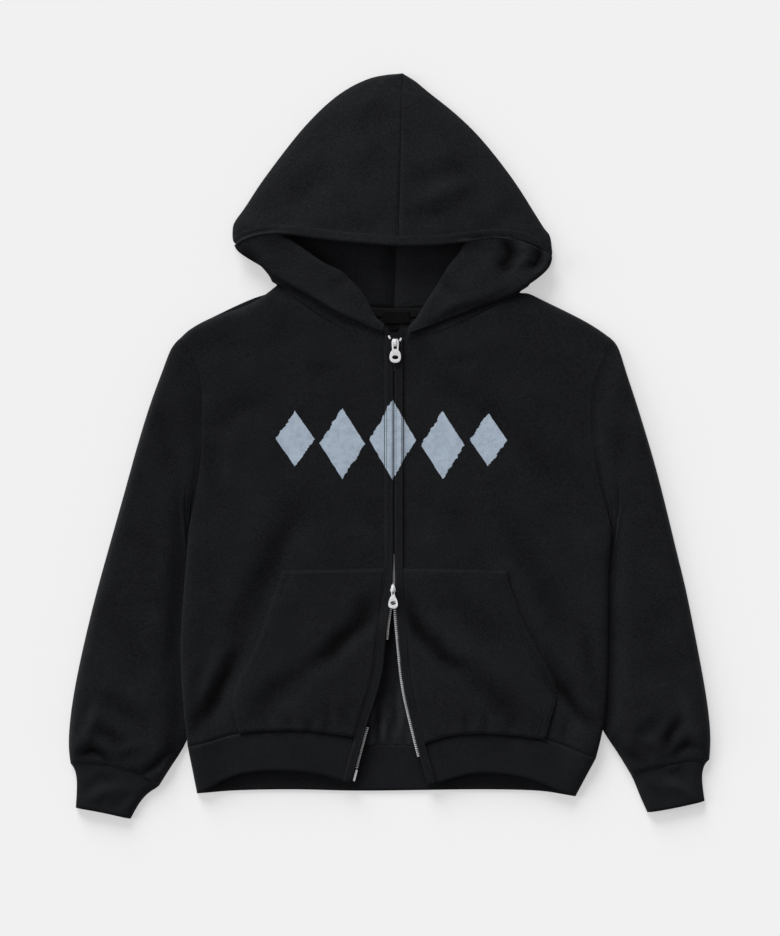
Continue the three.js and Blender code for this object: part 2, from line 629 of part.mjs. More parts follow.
bandTopInner[backEnd] = plus(bandTopInner[backEnd + 1], [0, 0, -seamGap]);
bandInner[0] = bandTopInner;
addMesh("hem_band", wallGeometry(bandOuter, bandInner), fabric(-0.005));

// Kangaroo pockets lie on the fronts, from the placket to the slanted opening
for (const name of ["left", "right"]) {
  const { outer, normals } = fronts[name];
  const cut = (grid) => grid.slice(rowPlan.pocket).map((line) => line.slice(columnPlan.placket, columnPlan.guide + 1));
  const base = cut(outer);
  const facing = cut(normals);
  const shiftIn = (grid) => grid.map((line) => [plus(line[0], [sides[name].sign * seamGap, 0, 0]), ...line.slice(1)]);
  const inner = shiftIn(moveGrid(base, facing, seamGap));
  const top = shiftIn(moveGrid(base, facing, seamGap + fleeceWall));
  addMesh(`pocket_${name}`, wallGeometry(top, inner), fabric(0.005));
}

// Plackets and zip tapes follow the zip edge from the neck to the hem's bottom
const tapeShows = { width: 3.4, fromY: -150, over: 60 }; // the tape comes out where the zip is open
const placketEnds = {};
for (const name of ["left", "right"]) {
  const { outer, inner, normals } = fronts[name];
  const sign = sides[name].sign;
  const columns = name === "left" ? [0, 1] : [bandColumns.length - 1, bandColumns.length - 2];
  const bandRows = [1, 2, 3];
  const strip = [
    ...outer.map((line) => [line[0], line[1]]),
    ...bandRows.map((i) => columns.map((j) => bandOuter[i][j])),
  ];
  const facing = [
    ...normals.map((line) => [line[0], line[1]]),
    ...bandRows.map((i) => columns.map((j) => bandNormals[i][j])),
  ];
  const straighten = (grid) => grid.map((line, i) => [[strip[i][0][0], ...line[0].slice(1)], line[1]]);
  const low = straighten(moveGrid(strip, facing, seamGap));
  const top = straighten(moveGrid(strip, facing, seamGap + placketWall));
  addMesh(`placket_${name}`, wallGeometry(top, low), fabric(-0.01));
  placketEnds[name] = top;
  const under = [
    ...inner.map((line) => [line[0], line[1]]),
    ...bandRows.map((i) => columns.map((j) => bandInner[i][j])),
  ];
  const reachOut = (grid) => grid.map((line, i) => {
    const open = tapeShows.width * smoothStep((tapeShows.fromY - line[0][1]) / tapeShows.over);
    return [[strip[i][0][0] - sign * open, line[0][1], line[0][2]], line[1]];
  });
  const tape = reachOut(moveGrid(under, facing, -seamGap));
  const tapeLow = reachOut(moveGrid(under, facing, -seamGap - tapeWall));
  addMesh(`zip_tape_${name}`, wallGeometry(tape, tapeLow), fabric(-0.01));
}

// Hood. Each half is one panel. A row is a section through it: from the neck or
// centre back seam out to the side fold, back in to the roll, and out again to
// the free edge. pleat is the height between the two layers at the roll.
const hoodNames = ["from", "at", "foldX", "foldY", "foldUp", "rollX", "rollY", "rollZ", "pleat",
  "edgeX", "edgeY", "edgeZ"];
const hoodRows = {
  left: table(hoodNames,
    ["neck", -12, -12.5, 149, 0, -13, 157, 15, 5.5, -13, 149, 20.5],
    ["neck", -27, -22, 150, 0, -17, 159, 15, 6, -26.5, 151.5, 21],
    ["neck", -50, -38, 155, 0, -26.5, 167, 15, 6, -50, 163, 21.5],
    ["neck", -73, -53, 164, 0, -31, 180, 15.5, 6, -73, 173, 22],
    ["neck", -107, -76, 185, 0, -44, 200, 15.5, 6, -96, 187, 22],
    ["neck", -141, -100, 208, 0, -56, 219, 15.5, 6, -122, 202, 22],
    ["nape", -150, -158, 214, 11, -66, 225, 15, 6, -139, 211, 22],
    ["nape", -120, -161, 222, 12, -76, 229, 15, 6, -150, 218, 22],
    ["nape", -70, -171, 233, 13, -92, 236, 15.5, 6, -166, 229, 22],
    ["centre", 178, -183, 246, 13, -110, 249, 16, 6, -184, 239.5, 22],
    ["centre", 205, -198.5, 257, 13, -130, 263, 17, 6, -203, 251, 22],
    ["centre", 222, -207, 262, 13, -138, 268, 18, 6, -206.5, 259.5, 23],
    ["centre", 236, -208.5, 269, 13, -144, 272, 19, 6, -196, 267, 24],
    ["centre", 248, -208.6, 274.5, 14, -149, 275, 20, 6, -175, 274.5, 26],
    ["centre", 258, -208.4, 280, 14, -151, 277, 21, 5, -152, 276, 28],
    ["centre", 266, -208, 285, 14, -153, 277.5, 22, 0, -128, 273.5, 25],
    ["centre", 276, -206, 290, 14, -150, 280, 23, 0, -101, 269.5, 27],
    ["centre", 294, -202, 296, 14, -130, 280, 25, 0, -61, 264.5, 29],
    ["centre", 312, -195, 305, 14, -105, 286, 26, 0, -22, 261, 31],
    ["centre", 330, -187, 317, 14, -90, 297, 26, 0, null, 259, 32],
    ["centre", 355, -174, 338, 14, -88, 318, 26, 0, null, 285, 31],
    ["centre", 385, -148, 373, 14, -76, 348, 25, 0, null, 318, 29],
    ["centre", 412, -121, 408, 13, -62, 382, 24, 0, null, 355, 27],
    ["centre", 436, -94, 436.5, 12, -48, 414, 22, 0, null, 392, 24],
    ["centre", 456, -70, 457, 11, -36, 440, 19, 0, null, 425, 21],
    ["centre", 469, -44, 472, 10, -24, 462, 15, 0, null, 452, 17],
    ["centre", 475, -14, 482.5, 9, -6, 478, 12, 0, null, 470, 13]),
  right: table(hoodNames,
    ["neck", 16, 18, 145, 0, 20, 154, 15, 5.5, 16.5, 145, 20.5],
    ["neck", 28, 28, 149, 0, 29, 163, 15, 6, 27, 148.5, 21],
    ["neck", 55, 46, 160, 0, 36, 176, 15, 6, 55, 158.5, 21.5],
    ["neck", 87, 66, 175, 0, 46, 192, 15.5, 6, 79, 168.5, 22],
    ["neck", 120, 88, 190, 0, 55, 205, 15.5, 6, 104, 177, 22],
    ["neck", 155, 108, 207, 0, 62, 217, 15.5, 6, 128, 185.5, 22],
    ["nape", 166, 174, 208, 11, 67, 226, 15, 6, 148, 193.5, 22],
    ["nape", 135, 177, 213, 12, 73, 235, 15, 6, 166, 203.5, 22],
    ["nape", 75, 183, 221, 13, 80, 243, 15.5, 6, 180, 212, 22],
    ["centre", 178, 190, 231, 13, 86, 250, 16, 6, 191, 220.5, 22],
    ["centre", 205, 201, 241, 13, 89, 256, 17, 6, 202, 231, 22],
    ["centre", 222, 207, 247.5, 13, 91, 259, 18, 6, 206, 244.5, 23],
    ["centre", 236, 207.5, 255, 13, 92.5, 261, 19, 6, 198, 251, 24],
    ["centre", 246, 206.5, 261, 14, 94, 263, 20, 6, 165, 266, 25],
    ["centre", 253, 205, 266, 14, 95, 264, 20.5, 6, 128, 270.5, 26.5],
    ["centre", 260, 203, 270.5, 14, 95, 265.5, 21, 5, 95.5, 264.5, 28],
    ["centre", 268, 200.5, 275, 14, 98, 268, 22, 0, 75, 262, 26],
    ["centre", 280, 195, 280, 14, 100, 272, 24, 0, 55, 260, 28],
    ["centre", 298, 188, 291, 14, 96, 278, 25, 0, 30, 259.3, 30],
    ["centre", 330, 172, 317, 14, 88, 294, 26, 0, null, 259, 32],
    ["centre", 355, 157, 341, 14, 84, 318, 26, 0, null, 285, 31],
    ["centre", 385, 130, 377, 14, 74, 350, 25, 0, null, 318, 29],
    ["centre", 412, 103, 409, 13, 62, 384, 24, 0, null, 355, 27],
    ["centre", 436, 72, 437, 12, 46, 415, 22, 0, null, 392, 24],
    ["centre", 456, 50, 453.5, 11, 34, 440, 19, 0, null, 425, 21],
    ["centre", 469, 35, 466, 10, 26, 460, 15, 0, null, 452, 17],
    ["centre", 475, 20, 479, 9, 16, 476, 12, 0, null, 470, 13]),
};
const hoodSpans = { lower: 2, leg: 3, wing: 3 };
const foldDepth = 6; // how far a fold's curve reaches in from its edge
const rollDepth = 3.5;
const rollShares = { turn: [0.15, 0.3], before: 0.9, after: 0.12 }; // places along an open section
const shortest = 0.45; // a fold's curve takes at most this share of the way
// x of the centre seam on the lower and the upper layer, which leans to the right
const centreSeam = {
  lower: (y) => (y - 177) * 0.0371,
  upper: (y) => 6 + (y - 259) * 0.024,
};
const apex = { seamY: 483, y: 477, forward: 6, z: 6, halfHeight: 4.9 };
const hoodNeckGap = 1.1;
const hoodNapeGap = 1.5;

function hoodStart(name, row) {
  const side = sides[name];
  if (row.from === "centre") {
    return [centreSeam.lower(row.at) + side.sign * seamGap, row.at, fleeceWall / 2];
  }
  if (row.from === "nape") {
    return [row.at, read(backNeck, "y", row.at, "x") + hoodNapeGap, fleeceWall / 2];
  }
  const reach = Math.abs(row.at);
  const y = read(side.neck, "y", reach, "reach");
  return [row.at, y + hoodNeckGap, frontHeightAt(side, row.at, y, farAway, 0) - fleeceWall / 2];
}

function hoodSection(name, row) {
  const start = hoodStart(name, row);
  const edgeX = row.edgeX ?? centreSeam.upper(row.edgeY) + sides[name].sign * seamGap;
  const edge = [edgeX, row.edgeY, row.edgeZ];
  const fold = [row.foldX, row.foldY, 0];
  const roll = [row.rollX, row.rollY, row.rollZ];
  const flat = (point) => [point[0], point[1], 0];
  const inward = (corner, target, depth) => {
    const way = minus(flat(target), flat(corner));
    const size = Math.hypot(...way);
    return plus(flat(corner), unit(way), Math.min(depth, size * shortest));
  };
  const spread = (from, to, spans) => range(spans).map((k) => mixPoint(from, to, (k + 1) / spans));
  const points = [start];
  let leaving = null;
  if (row.foldUp > 0) {
    const low = inward(fold, start, foldDepth);
    low[2] = fleeceWall / 2;
    points.push(...spread(start, low, hoodSpans.lower));
    points.push([fold[0], fold[1], (fleeceWall / 2 + row.foldUp) / 2]);
    leaving = inward(fold, roll, foldDepth);
    leaving[2] = row.foldUp;
    points.push(leaving);
  } else {
    const middle = [fold[0], fold[1], mix(start[2], roll[2], 0.5)];
    points.push(...spread(start, middle, hoodSpans.lower));
    points.push(...rollShares.turn.map((share) => mixPoint(middle, roll, share)));
    leaving = points.at(-1);
  }
  if (row.pleat > 0) {
    const below = inward(roll, leaving, rollDepth);
    below[2] = roll[2];
    points.push(...spread(leaving, below, hoodSpans.leg));
    points.push([roll[0], roll[1], roll[2] + row.pleat / 2]);
    const above = inward(roll, edge, rollDepth);
    above[2] = roll[2] + row.pleat;
    points.push(above);
    points.push(...spread(above, edge, hoodSpans.wing));
  } else {
    const before = mixPoint(leaving, roll, rollShares.before);
    points.push(...spread(leaving, before, hoodSpans.leg));
    const after = mixPoint(roll, edge, rollShares.after);
    points.push(roll, after, ...spread(after, edge, hoodSpans.wing));
  }
  return points;
}

// At the apex the panel's last row is the seam itself, from the back up and over
function hoodApex(name) {
  const x = centreSeam.upper(apex.seamY) + sides[name].sign * seamGap;
  const count = 1 + hoodSpans.lower + 2 + hoodSpans.leg + 2 + hoodSpans.wing;
  return range(count).map((k) => {
    const turn = (k / (count - 1)) * Math.PI;
    return [x, apex.y + apex.forward * Math.sin(turn), apex.z - apex.halfHeight * Math.cos(turn)];
  });
}

for (const name of ["left", "right"]) {
  const middle = [...hoodRows[name].map((row) => hoodSection(name, row)), hoodApex(name)];
  const normals = gridNormals(middle, false);
  const half = fleeceWall / 2;
  const floor = (grid) => grid.map((line) => line.map(([x, y, z]) => [x, y, Math.max(z, 0)]));
  const keepSeam = (grid) => grid.map((line, i) => line.map((point, j) => {
    const row = hoodRows[name][i];
    const onSeam = !row || (row.from === "centre" && j === 0) || (row.edgeX === null && j === line.length - 1);
    return onSeam ? [middle[i][j][0], point[1], point[2]] : point;
  }));
  const outer = keepSeam(floor(moveGrid(middle, normals, half)));
  const inner = keepSeam(floor(moveGrid(middle, normals, -half)));
  addMesh(`hood_${name}`, wallGeometry(outer, inner), fabric(0.005));
}

// Neck tape, bare label and bare size tab on the back panel inside the neck
const tapeDrop = [-1.7, 11];
const tapeReach = [-118, 124];
const tapeSteps = 14;
const tapeGrid = (z) => range(tapeSteps + 1).map((k) => {
  const x = mix(tapeReach[0], tapeReach[1], k / tapeSteps);
  return tapeDrop.map((drop) => [x, read(backNeck, "y", x, "x") - drop, z]);
});
const tapeBase = fleeceWall + seamGap;
addMesh("neck_tape", wallGeometry(tapeGrid(tapeBase + tapeWall), tapeGrid(tapeBase)), fabric(0.01));

function plate(width, height, round, thickness, holes = []) {
  const shape = new THREE.Shape();
  const w = width / 2;
  const h = height / 2;
  shape.moveTo(-w + round, -h);
  shape.lineTo(w - round, -h);
  shape.absarc(w - round, -h + round, round, -Math.PI / 2, 0);
  shape.lineTo(w, h - round);
  shape.absarc(w - round, h - round, round, 0, Math.PI / 2);
  shape.lineTo(-w + round, h);
  shape.absarc(-w + round, h - round, round, Math.PI / 2, Math.PI);
  shape.lineTo(-w, -h + round);
  shape.absarc(-w + round, -h + round, round, Math.PI, 1.5 * Math.PI);
  shape.holes.push(...holes);
  return new THREE.ExtrudeGeometry(shape, { depth: thickness, bevelEnabled: false, curveSegments: 2 });
}

const label = { width: 36, height: 16, round: 0.6, x: 2, y: 167.5 };
const labelBase = tapeBase + tapeWall + seamGap;
addMesh("neck_label", plate(label.width, label.height, label.round, labelWall), fabric(-0.01))
  .position.set(label.x, label.y, labelBase);
const tab = { width: 13.4, height: 15, round: 3.2, x: -0.7, y: 157 };
addMesh("size_tab", plate(tab.width, tab.height, tab.round, labelWall), fabric(-0.01))
  .position.set(tab.x, tab.y, tapeBase);

// Zip hardware: two sliders with their pull tabs, top stops and the end pin
const wasm = await Module();
wasm.setup();
function toSolid(geometry) {
  const bare = geometry.index ? geometry.toNonIndexed() : geometry.clone();
  bare.deleteAttribute("normal");
  bare.deleteAttribute("uv");
  const merged = mergeVertices(bare, 1e-3);
  return new wasm.Manifold(new wasm.Mesh({
    numProp: 3,
    vertProperties: new Float32Array(merged.attributes.position.array),
    triVerts: new Uint32Array(merged.index.array),
  }));
}
function toGeometry(solid) {
  const mesh = solid.getMesh();
  const geometry = new THREE.BufferGeometry();
  geometry.setAttribute("position", new THREE.BufferAttribute(new Float32Array(mesh.vertProperties), 3));
  geometry.setIndex(new THREE.BufferAttribute(new Uint32Array(mesh.triVerts), 1));
  return geometry;
}

const slider = {
  width: 8.6, length: 9.6, plate: 2.6, corner: 2.4,
  bridgeWidth: 2.6, bridgeHeight: 4.6, bridgeWall: 1.2, bridgeInset: 0.3, bridgeRoot: 0.6,
  bridgeChamfer: 1.6, eyeChamfer: [0.8, 0.6], eyeFloor: 0.3,
};
const pull = {
  length: 28, width: 9.4, ringWidth: 14.6, thickness: 1.6, slot: [4.2, 8.4], hole: [8.6, 5.4],
  bar: 1.8, chamfer: 1, waistAt: 12, waistShare: 0.86, ringFrom: 14, ringMiddle: 7, curveSteps: 5,
};
const pivotRise = 1.9; // the cross bar's centre over the slider's plate
const sliderPlaces = [
  { name: "top", x: 1.6, y: 133.5 },
  { name: "bottom", x: -1.2, y: -184 },
];

// The bridge is an arch in the plane of the zip, and the pull's bar turns under it
function sliderGeometry() {
  const base = toSolid(
    plate(slider.width, slider.length, slider.corner, slider.plate).translate(0, 0, -slider.plate),
  );
  const arch = new THREE.Shape();
  const half = slider.length / 2 - slider.bridgeInset;
  const top = slider.bridgeHeight;
  const chamfer = slider.bridgeChamfer;
  arch.moveTo(-half, -slider.bridgeRoot);
  arch.lineTo(half, -slider.bridgeRoot);
  arch.lineTo(half, top - chamfer);
  arch.lineTo(half - chamfer, top);
  arch.lineTo(-half + chamfer, top);
  arch.lineTo(-half, top - chamfer);
  arch.closePath();
  const eye = new THREE.Path();
  const eyeHalf = half - slider.bridgeWall;
  const eyeTop = top - slider.bridgeWall;
  const [along, down] = slider.eyeChamfer;
  eye.moveTo(-eyeHalf, slider.eyeFloor);
  eye.lineTo(-eyeHalf, eyeTop - down);
  eye.lineTo(-eyeHalf + along, eyeTop);
  eye.lineTo(eyeHalf - along, eyeTop);
  eye.lineTo(eyeHalf, eyeTop - down);
  eye.lineTo(eyeHalf, slider.eyeFloor);
  eye.closePath();
  arch.holes.push(eye);
  const bridge = new THREE.ExtrudeGeometry(arch, { depth: slider.bridgeWidth, bevelEnabled: false });
  bridge.translate(0, 0, -slider.bridgeWidth / 2).rotateX(Math.PI / 2).rotateZ(Math.PI / 2);
  return toGeometry(base.add(toSolid(bridge)));
}

// The pull lies from its bar towards the hem: a slot round the bridge's leg, a
// waist and a ring with an oblong hole
function pullGeometry() {
  const outline = new THREE.Shape();
  const top = pull.bar / 2;
  const half = pull.width / 2;
  const waist = half * pull.waistShare;
  const ring = pull.ringWidth / 2;
  const end = top - pull.length;
  const middle = end + pull.ringMiddle;
  outline.moveTo(-half, top - pull.chamfer);
  outline.lineTo(-waist, top - pull.waistAt);
  outline.quadraticCurveTo(-ring, top - pull.ringFrom, -ring, middle);
  outline.quadraticCurveTo(-ring, end, 0, end);
  outline.quadraticCurveTo(ring, end, ring, middle);
  outline.quadraticCurveTo(ring, top - pull.ringFrom, waist, top - pull.waistAt);
  outline.lineTo(half, top - pull.chamfer);
  outline.lineTo(half - pull.chamfer, top);
  outline.lineTo(-half + pull.chamfer, top);
  outline.closePath();
  const slot = new THREE.Path();
  const slotHalf = pull.slot[0] / 2;
  const slotTop = top - pull.bar;
  slot.moveTo(-slotHalf, slotTop);
  slot.lineTo(-slotHalf, slotTop - pull.slot[1]);
  slot.lineTo(slotHalf, slotTop - pull.slot[1]);
  slot.lineTo(slotHalf, slotTop);
  slot.closePath();
  const hole = new THREE.Path();
  hole.absellipse(0, middle, pull.hole[0] / 2, pull.hole[1] / 2, 0, 2 * Math.PI, true);
  outline.holes.push(slot, hole);
  const geometry = new THREE.ExtrudeGeometry(outline, {
    depth: pull.thickness, bevelEnabled: false, curveSegments: pull.curveSteps,
  });
  return geometry.translate(0, 0, -pull.thickness / 2);
}

function placketTop(x, y, reach) {
  let top = 0;
  for (const dx of [-reach, 0, reach]) {
    for (const dy of [-reach, 0, reach]) {
      const side = x + dx < 0 ? sides.left : sides.right;
      top = Math.max(top, frontHeightAt(side, x + dx, y + dy, farAway, farAway));
    }
  }
  return top + seamGap + placketWall + seamGap;
}

const pivotStep = 1; // the pull's bar sits this far up from the slider's middle
for (const place of sliderPlaces) {
  const base = placketTop(place.x, place.y, slider.width / 2) + slider.plate;
  addMesh(`${place.name}_slider`, sliderGeometry(), metal()).position.set(place.x, place.y, base);
  addMesh(`${place.name}_pull`, pullGeometry(), metal())
    .position.set(place.x, place.y + pivotStep, base + pivotRise);
}
const stopSize = { width: 2.4, length: 4.6, round: 0.7, height: 2 };
const stops = [{ name: "left", x: -6, y: 140.5, turn: 0.45 }, { name: "right", x: 8.4, y: 137.6, turn: -0.45 }];
for (const stop of stops) {
  const form = plate(stopSize.width, stopSize.length, stopSize.round, stopSize.height);
  const mesh = addMesh(`top_stop_${stop.name}`, form, metal());
  mesh.position.set(stop.x, stop.y, placketTop(stop.x, stop.y, stopSize.height));
  mesh.rotation.z = stop.turn;
}
const pin = { width: 3, length: 15, round: 0.8, height: 2.6, along: 0.45, aside: 2.3 };
const pinFrom = placketEnds.left.at(-2)[0];
const pinTo = placketEnds.left.at(-1)[0];
const pinMesh = addMesh("end_pin", plate(pin.width, pin.length, pin.round, pin.height), metal());
pinMesh.position.set(
  mix(pinFrom[0], pinTo[0], pin.along) + pin.aside,
  mix(pinFrom[1], pinTo[1], pin.along),
  Math.max(pinFrom[2], pinTo[2]) - placketWall - ribWall - seamGap,
);
pinMesh.rotation.z = Math.atan2(pinFrom[0] - pinTo[0], pinTo[1] - pinFrom[1]) + Math.PI;

export default group;
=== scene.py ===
import json
import math

import bmesh
import bpy
import numpy as np
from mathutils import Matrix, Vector, noise
from mathutils.bvhtree import BVHTree

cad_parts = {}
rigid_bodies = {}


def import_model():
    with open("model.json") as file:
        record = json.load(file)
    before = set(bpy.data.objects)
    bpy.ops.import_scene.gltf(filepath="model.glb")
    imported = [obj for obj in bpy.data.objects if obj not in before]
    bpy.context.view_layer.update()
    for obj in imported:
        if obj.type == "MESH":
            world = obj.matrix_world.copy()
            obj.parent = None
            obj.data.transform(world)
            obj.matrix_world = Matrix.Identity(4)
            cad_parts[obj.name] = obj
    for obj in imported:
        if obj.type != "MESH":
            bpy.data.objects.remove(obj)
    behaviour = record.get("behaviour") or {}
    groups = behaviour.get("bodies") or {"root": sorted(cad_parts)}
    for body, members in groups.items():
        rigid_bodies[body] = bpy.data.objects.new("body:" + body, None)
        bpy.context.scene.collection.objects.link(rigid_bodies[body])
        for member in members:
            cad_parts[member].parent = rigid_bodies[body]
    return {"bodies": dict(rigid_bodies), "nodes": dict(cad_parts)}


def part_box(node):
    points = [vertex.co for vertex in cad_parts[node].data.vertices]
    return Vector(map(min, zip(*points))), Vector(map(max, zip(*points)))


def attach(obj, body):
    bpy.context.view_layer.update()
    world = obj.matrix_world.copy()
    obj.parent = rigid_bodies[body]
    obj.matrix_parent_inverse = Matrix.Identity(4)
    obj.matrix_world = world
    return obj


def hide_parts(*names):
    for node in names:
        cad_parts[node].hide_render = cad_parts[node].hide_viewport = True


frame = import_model()
framed = [*frame["nodes"].values(), *frame["bodies"].values()]
for leftover in [o for o in bpy.data.objects if o not in framed]:
    bpy.data.objects.remove(leftover)
bpy.context.view_layer.update()
scene = bpy.context.scene
mm = 0.001


# Materials

def newMaterial(name, sockets):
    material = bpy.data.materials.new(name)
    material.use_nodes = True
    shader = material.node_tree.nodes["Principled BSDF"]
    for socket, value in sockets.items():
        shader.inputs[socket].default_value = value
    return material, material.node_tree, shader


def setInput(tree, socket, value):
    if isinstance(value, bpy.types.NodeSocket):
        tree.links.new(value, socket)
    else:
        socket.default_value = value


def calc(tree, operation, *values, clamp=False):
    node = tree.nodes.new("ShaderNodeMath")
    node.operation = operation
    node.use_clamp = clamp
    for socket, value in zip(node.inputs, values):
        setInput(tree, socket, value)
    return node.outputs[0]


def weighted(tree, *parts):
    whole = None
    for value, weight in parts:
        scaled = calc(tree, "MULTIPLY", value, weight)
        whole = scaled if whole is None else calc(tree, "ADD", whole, scaled)
    return whole


def millimetres(tree):
    coordinates = tree.nodes.new("ShaderNodeTexCoord")
    scaled = tree.nodes.new("ShaderNodeVectorMath")
    scaled.operation = "SCALE"
    scaled.inputs["Scale"].default_value = 1 / mm
    tree.links.new(coordinates.outputs["Object"], scaled.inputs[0])
    split = tree.nodes.new("ShaderNodeSeparateXYZ")
    tree.links.new(scaled.outputs[0], split.inputs[0])
    return scaled.outputs[0], split.outputs


def cloudy(tree, place, size, detail=3.0, rough=0.55):
    node = tree.nodes.new("ShaderNodeTexNoise")
    node.inputs["Scale"].default_value = 1 / size
    node.inputs["Detail"].default_value = detail
    node.inputs["Roughness"].default_value = rough
    tree.links.new(place, node.inputs["Vector"])
    return node.outputs["Fac"]


def cloudsOf(tree, place, look):
    return {name: cloudy(tree, place, *cloud) for name, cloud in look["clouds"].items()}


def ramp(tree, value, low, high, start=0.0, end=1.0):
    node = tree.nodes.new("ShaderNodeMapRange")
    node.interpolation_type = "SMOOTHSTEP"
    for socket, given in zip(node.inputs, (value, low, high, start, end)):
        setInput(tree, socket, given)
    return node.outputs[0]


def wave(tree, value, pitch):
    return calc(tree, "SINE", calc(tree, "MULTIPLY", value, 2 * math.pi / pitch))


def blendColour(tree, share, first, second):
    node = tree.nodes.new("ShaderNodeMix")
    node.data_type = "RGBA"
    setInput(tree, node.inputs[0], share)
    setInput(tree, node.inputs[6], first)
    setInput(tree, node.inputs[7], second)
    return node.outputs[2]


def addBump(tree, shader, height, depth, strength=1.0, onto=None):
    node = tree.nodes.new("ShaderNodeBump")
    node.inputs["Strength"].default_value = strength
    node.inputs["Distance"].default_value = depth
    tree.links.new(height, node.inputs["Height"])
    if onto:
        tree.links.new(onto, node.inputs["Normal"])
    tree.links.new(node.outputs[0], shader.inputs["Normal"])
    return node.outputs[0]


# Clouds hold their size in millimetres, detail and roughness. Ramps hold low, high, start and end.
fleeceLook = {
    "sockets": {
        "Specular IOR Level": 0.06,
        "Sheen Weight": 0.03,
        "Sheen Roughness": 0.6,
        "Sheen Tint": (0.75, 0.78, 0.85, 1),
    },
    "dark": (0.0012, 0.0013, 0.0015),
    "pale": (0.0172, 0.0180, 0.0204),
    "clouds": {"washed": (46, 3), "mottled": (7, 4, 0.65), "fibres": (2.1, 4, 0.8), "rumples": (16, 3, 0.5)},
    "roughness": (0.3, 0.7, 0.84, 0.96),
    "wale": 1.1,
    "course": 1.4,
    "lean": 0.55,
    "slant": 0.8,
    "loopHeight": 0.5,
    "fibreHeight": 0.6,
    "knitDepth": 0.00035,
    "knitStrength": 0.8,
    "rumpleDepth": 0.0011,
    "rumpleStrength": 0.55,
}
# Shares of the cloth's own random tone, with painted light and shade from the creases added
toneAndCreaseShade = {"washed": 0.3, "mottled": 0.35, "fibres": 2.3, "creaseShade": 1.5, "start": 1.68, "gain": 0.8}
inkLook = {
    "fresh": (0.40, 0.472, 0.56, 1),
    "wornAndShaded": (0.33, 0.392, 0.47, 1),
    "wearRamp": (0.3, 0.62),
    "upRamp": (0.1, 0.4),
    "clouds": {"edge": (9, 3, 0.6), "specks": (0.75, 3, 0.75), "cracks": (3.2, 5, 0.8)},
    "speckRamp": (0.24, 0.36, 0.7, 1.0),
    "crackRamp": (0.26, 0.36, 0.55, 1.0),
    "edgeRamp": (0.985, 1.015, 1.0, 0.0),
    "wobble": 7.0,
    "smoother": 0.2,
    "raised": 0.35,
}
# A row of five hand-cut lozenges across the chest: centre x and y, half width, half height
lozenges = [
    (-128, 9, 25, 36),
    (-67, 3, 29, 46),
    (-2, 8, 30, 52),
    (63, 1, 28, 44),
    (122, 8, 24, 35),
]


# The knit's wales run down the piece, and each loop leans a little
def knit(tree, across, along, look):
    lean = calc(tree, "MULTIPLY", wave(tree, along, look["course"]), look["lean"])
    turn = calc(tree, "ADD", calc(tree, "MULTIPLY", across, math.pi / look["wale"]), lean)
    return calc(tree, "ABSOLUTE", calc(tree, "SINE", turn))


# Painted light and shade: crease ridges are painted paler and crease troughs darker, on top of the cloth's own
# mottled tone
def toneAndCreaseShadeShare(tree, clouds):
    wornAndShaded = tree.nodes.new("ShaderNodeAttribute")
    wornAndShaded.attribute_name = "creaseShade"
    shares = [(clouds[name], toneAndCreaseShade[name]) for name in ("washed", "mottled", "fibres")]
    share = weighted(tree, *shares, (wornAndShaded.outputs["Fac"], toneAndCreaseShade["creaseShade"]))
    return calc(tree, "MULTIPLY", calc(tree, "SUBTRACT", share, toneAndCreaseShade["start"]), toneAndCreaseShade["gain"], clamp=True)


# A gain above one makes a paler copy of the fleece: painted light
def fleeceTone(tone, paintedLightGain=1.0):
    return tuple(c * paintedLightGain for c in fleeceLook[tone]) + (1,)


def fleeceMaterial(name, paintedLightGain=1.0, printed=False):
    material, tree, shader = newMaterial(name, fleeceLook["sockets"])
    place, (x, y, z) = millimetres(tree)
    clouds = cloudsOf(tree, place, fleeceLook)
    share = toneAndCreaseShadeShare(tree, clouds)
    colour = blendColour(tree, share, fleeceTone("dark", paintedLightGain), fleeceTone("pale", paintedLightGain))
    roughness = ramp(tree, clouds["mottled"], *fleeceLook["roughness"])
    side = calc(tree, "ADD", x, calc(tree, "MULTIPLY", z, fleeceLook["slant"]))
    loops = knit(tree, side, y, fleeceLook)
    height = weighted(tree, (loops, fleeceLook["loopHeight"]), (clouds["fibres"], fleeceLook["fibreHeight"]))
    if printed:
        cover = inkCover(tree, place, x, y)
        unworn = ramp(tree, clouds["mottled"], *inkLook["wearRamp"])
        ink = blendColour(tree, unworn, inkLook["wornAndShaded"], inkLook["fresh"])
        colour = blendColour(tree, cover, colour, ink)
        roughness = calc(tree, "SUBTRACT", roughness, calc(tree, "MULTIPLY", cover, inkLook["smoother"]))
        height = calc(tree, "ADD", height, calc(tree, "MULTIPLY", cover, inkLook["raised"]))
    tree.links.new(colour, shader.inputs["Base Color"])
    tree.links.new(roughness, shader.inputs["Roughness"])
    rumpled = addBump(tree, shader, clouds["rumples"], fleeceLook["rumpleDepth"], fleeceLook["rumpleStrength"])
    addBump(tree, shader, height, fleeceLook["knitDepth"], fleeceLook["knitStrength"], rumpled)
    return material


# Ink lies on the cloth that faces up, and specks and cracks of it have worn off
def inkCover(tree, place, x, y):
    clouds = cloudsOf(tree, place, inkLook)
    coordinates = tree.nodes.new("ShaderNodeTexCoord")
    facing = tree.nodes.new("ShaderNodeSeparateXYZ")
    tree.links.new(coordinates.outputs["Normal"], facing.inputs[0])
    mask = printMask(tree, clouds["edge"], x, y)
    mask = calc(tree, "MULTIPLY", mask, ramp(tree, facing.outputs[2], *inkLook["upRamp"]))
    specks = ramp(tree, clouds["specks"], *inkLook["speckRamp"])
    cracks = ramp(tree, clouds["cracks"], *inkLook["crackRamp"])
    return calc(tree, "MULTIPLY", mask, calc(tree, "MULTIPLY", specks, cracks))


def outFrom(tree, value, centre, half):
    return calc(tree, "DIVIDE", calc(tree, "ABSOLUTE", calc(tree, "SUBTRACT", value, centre)), half)


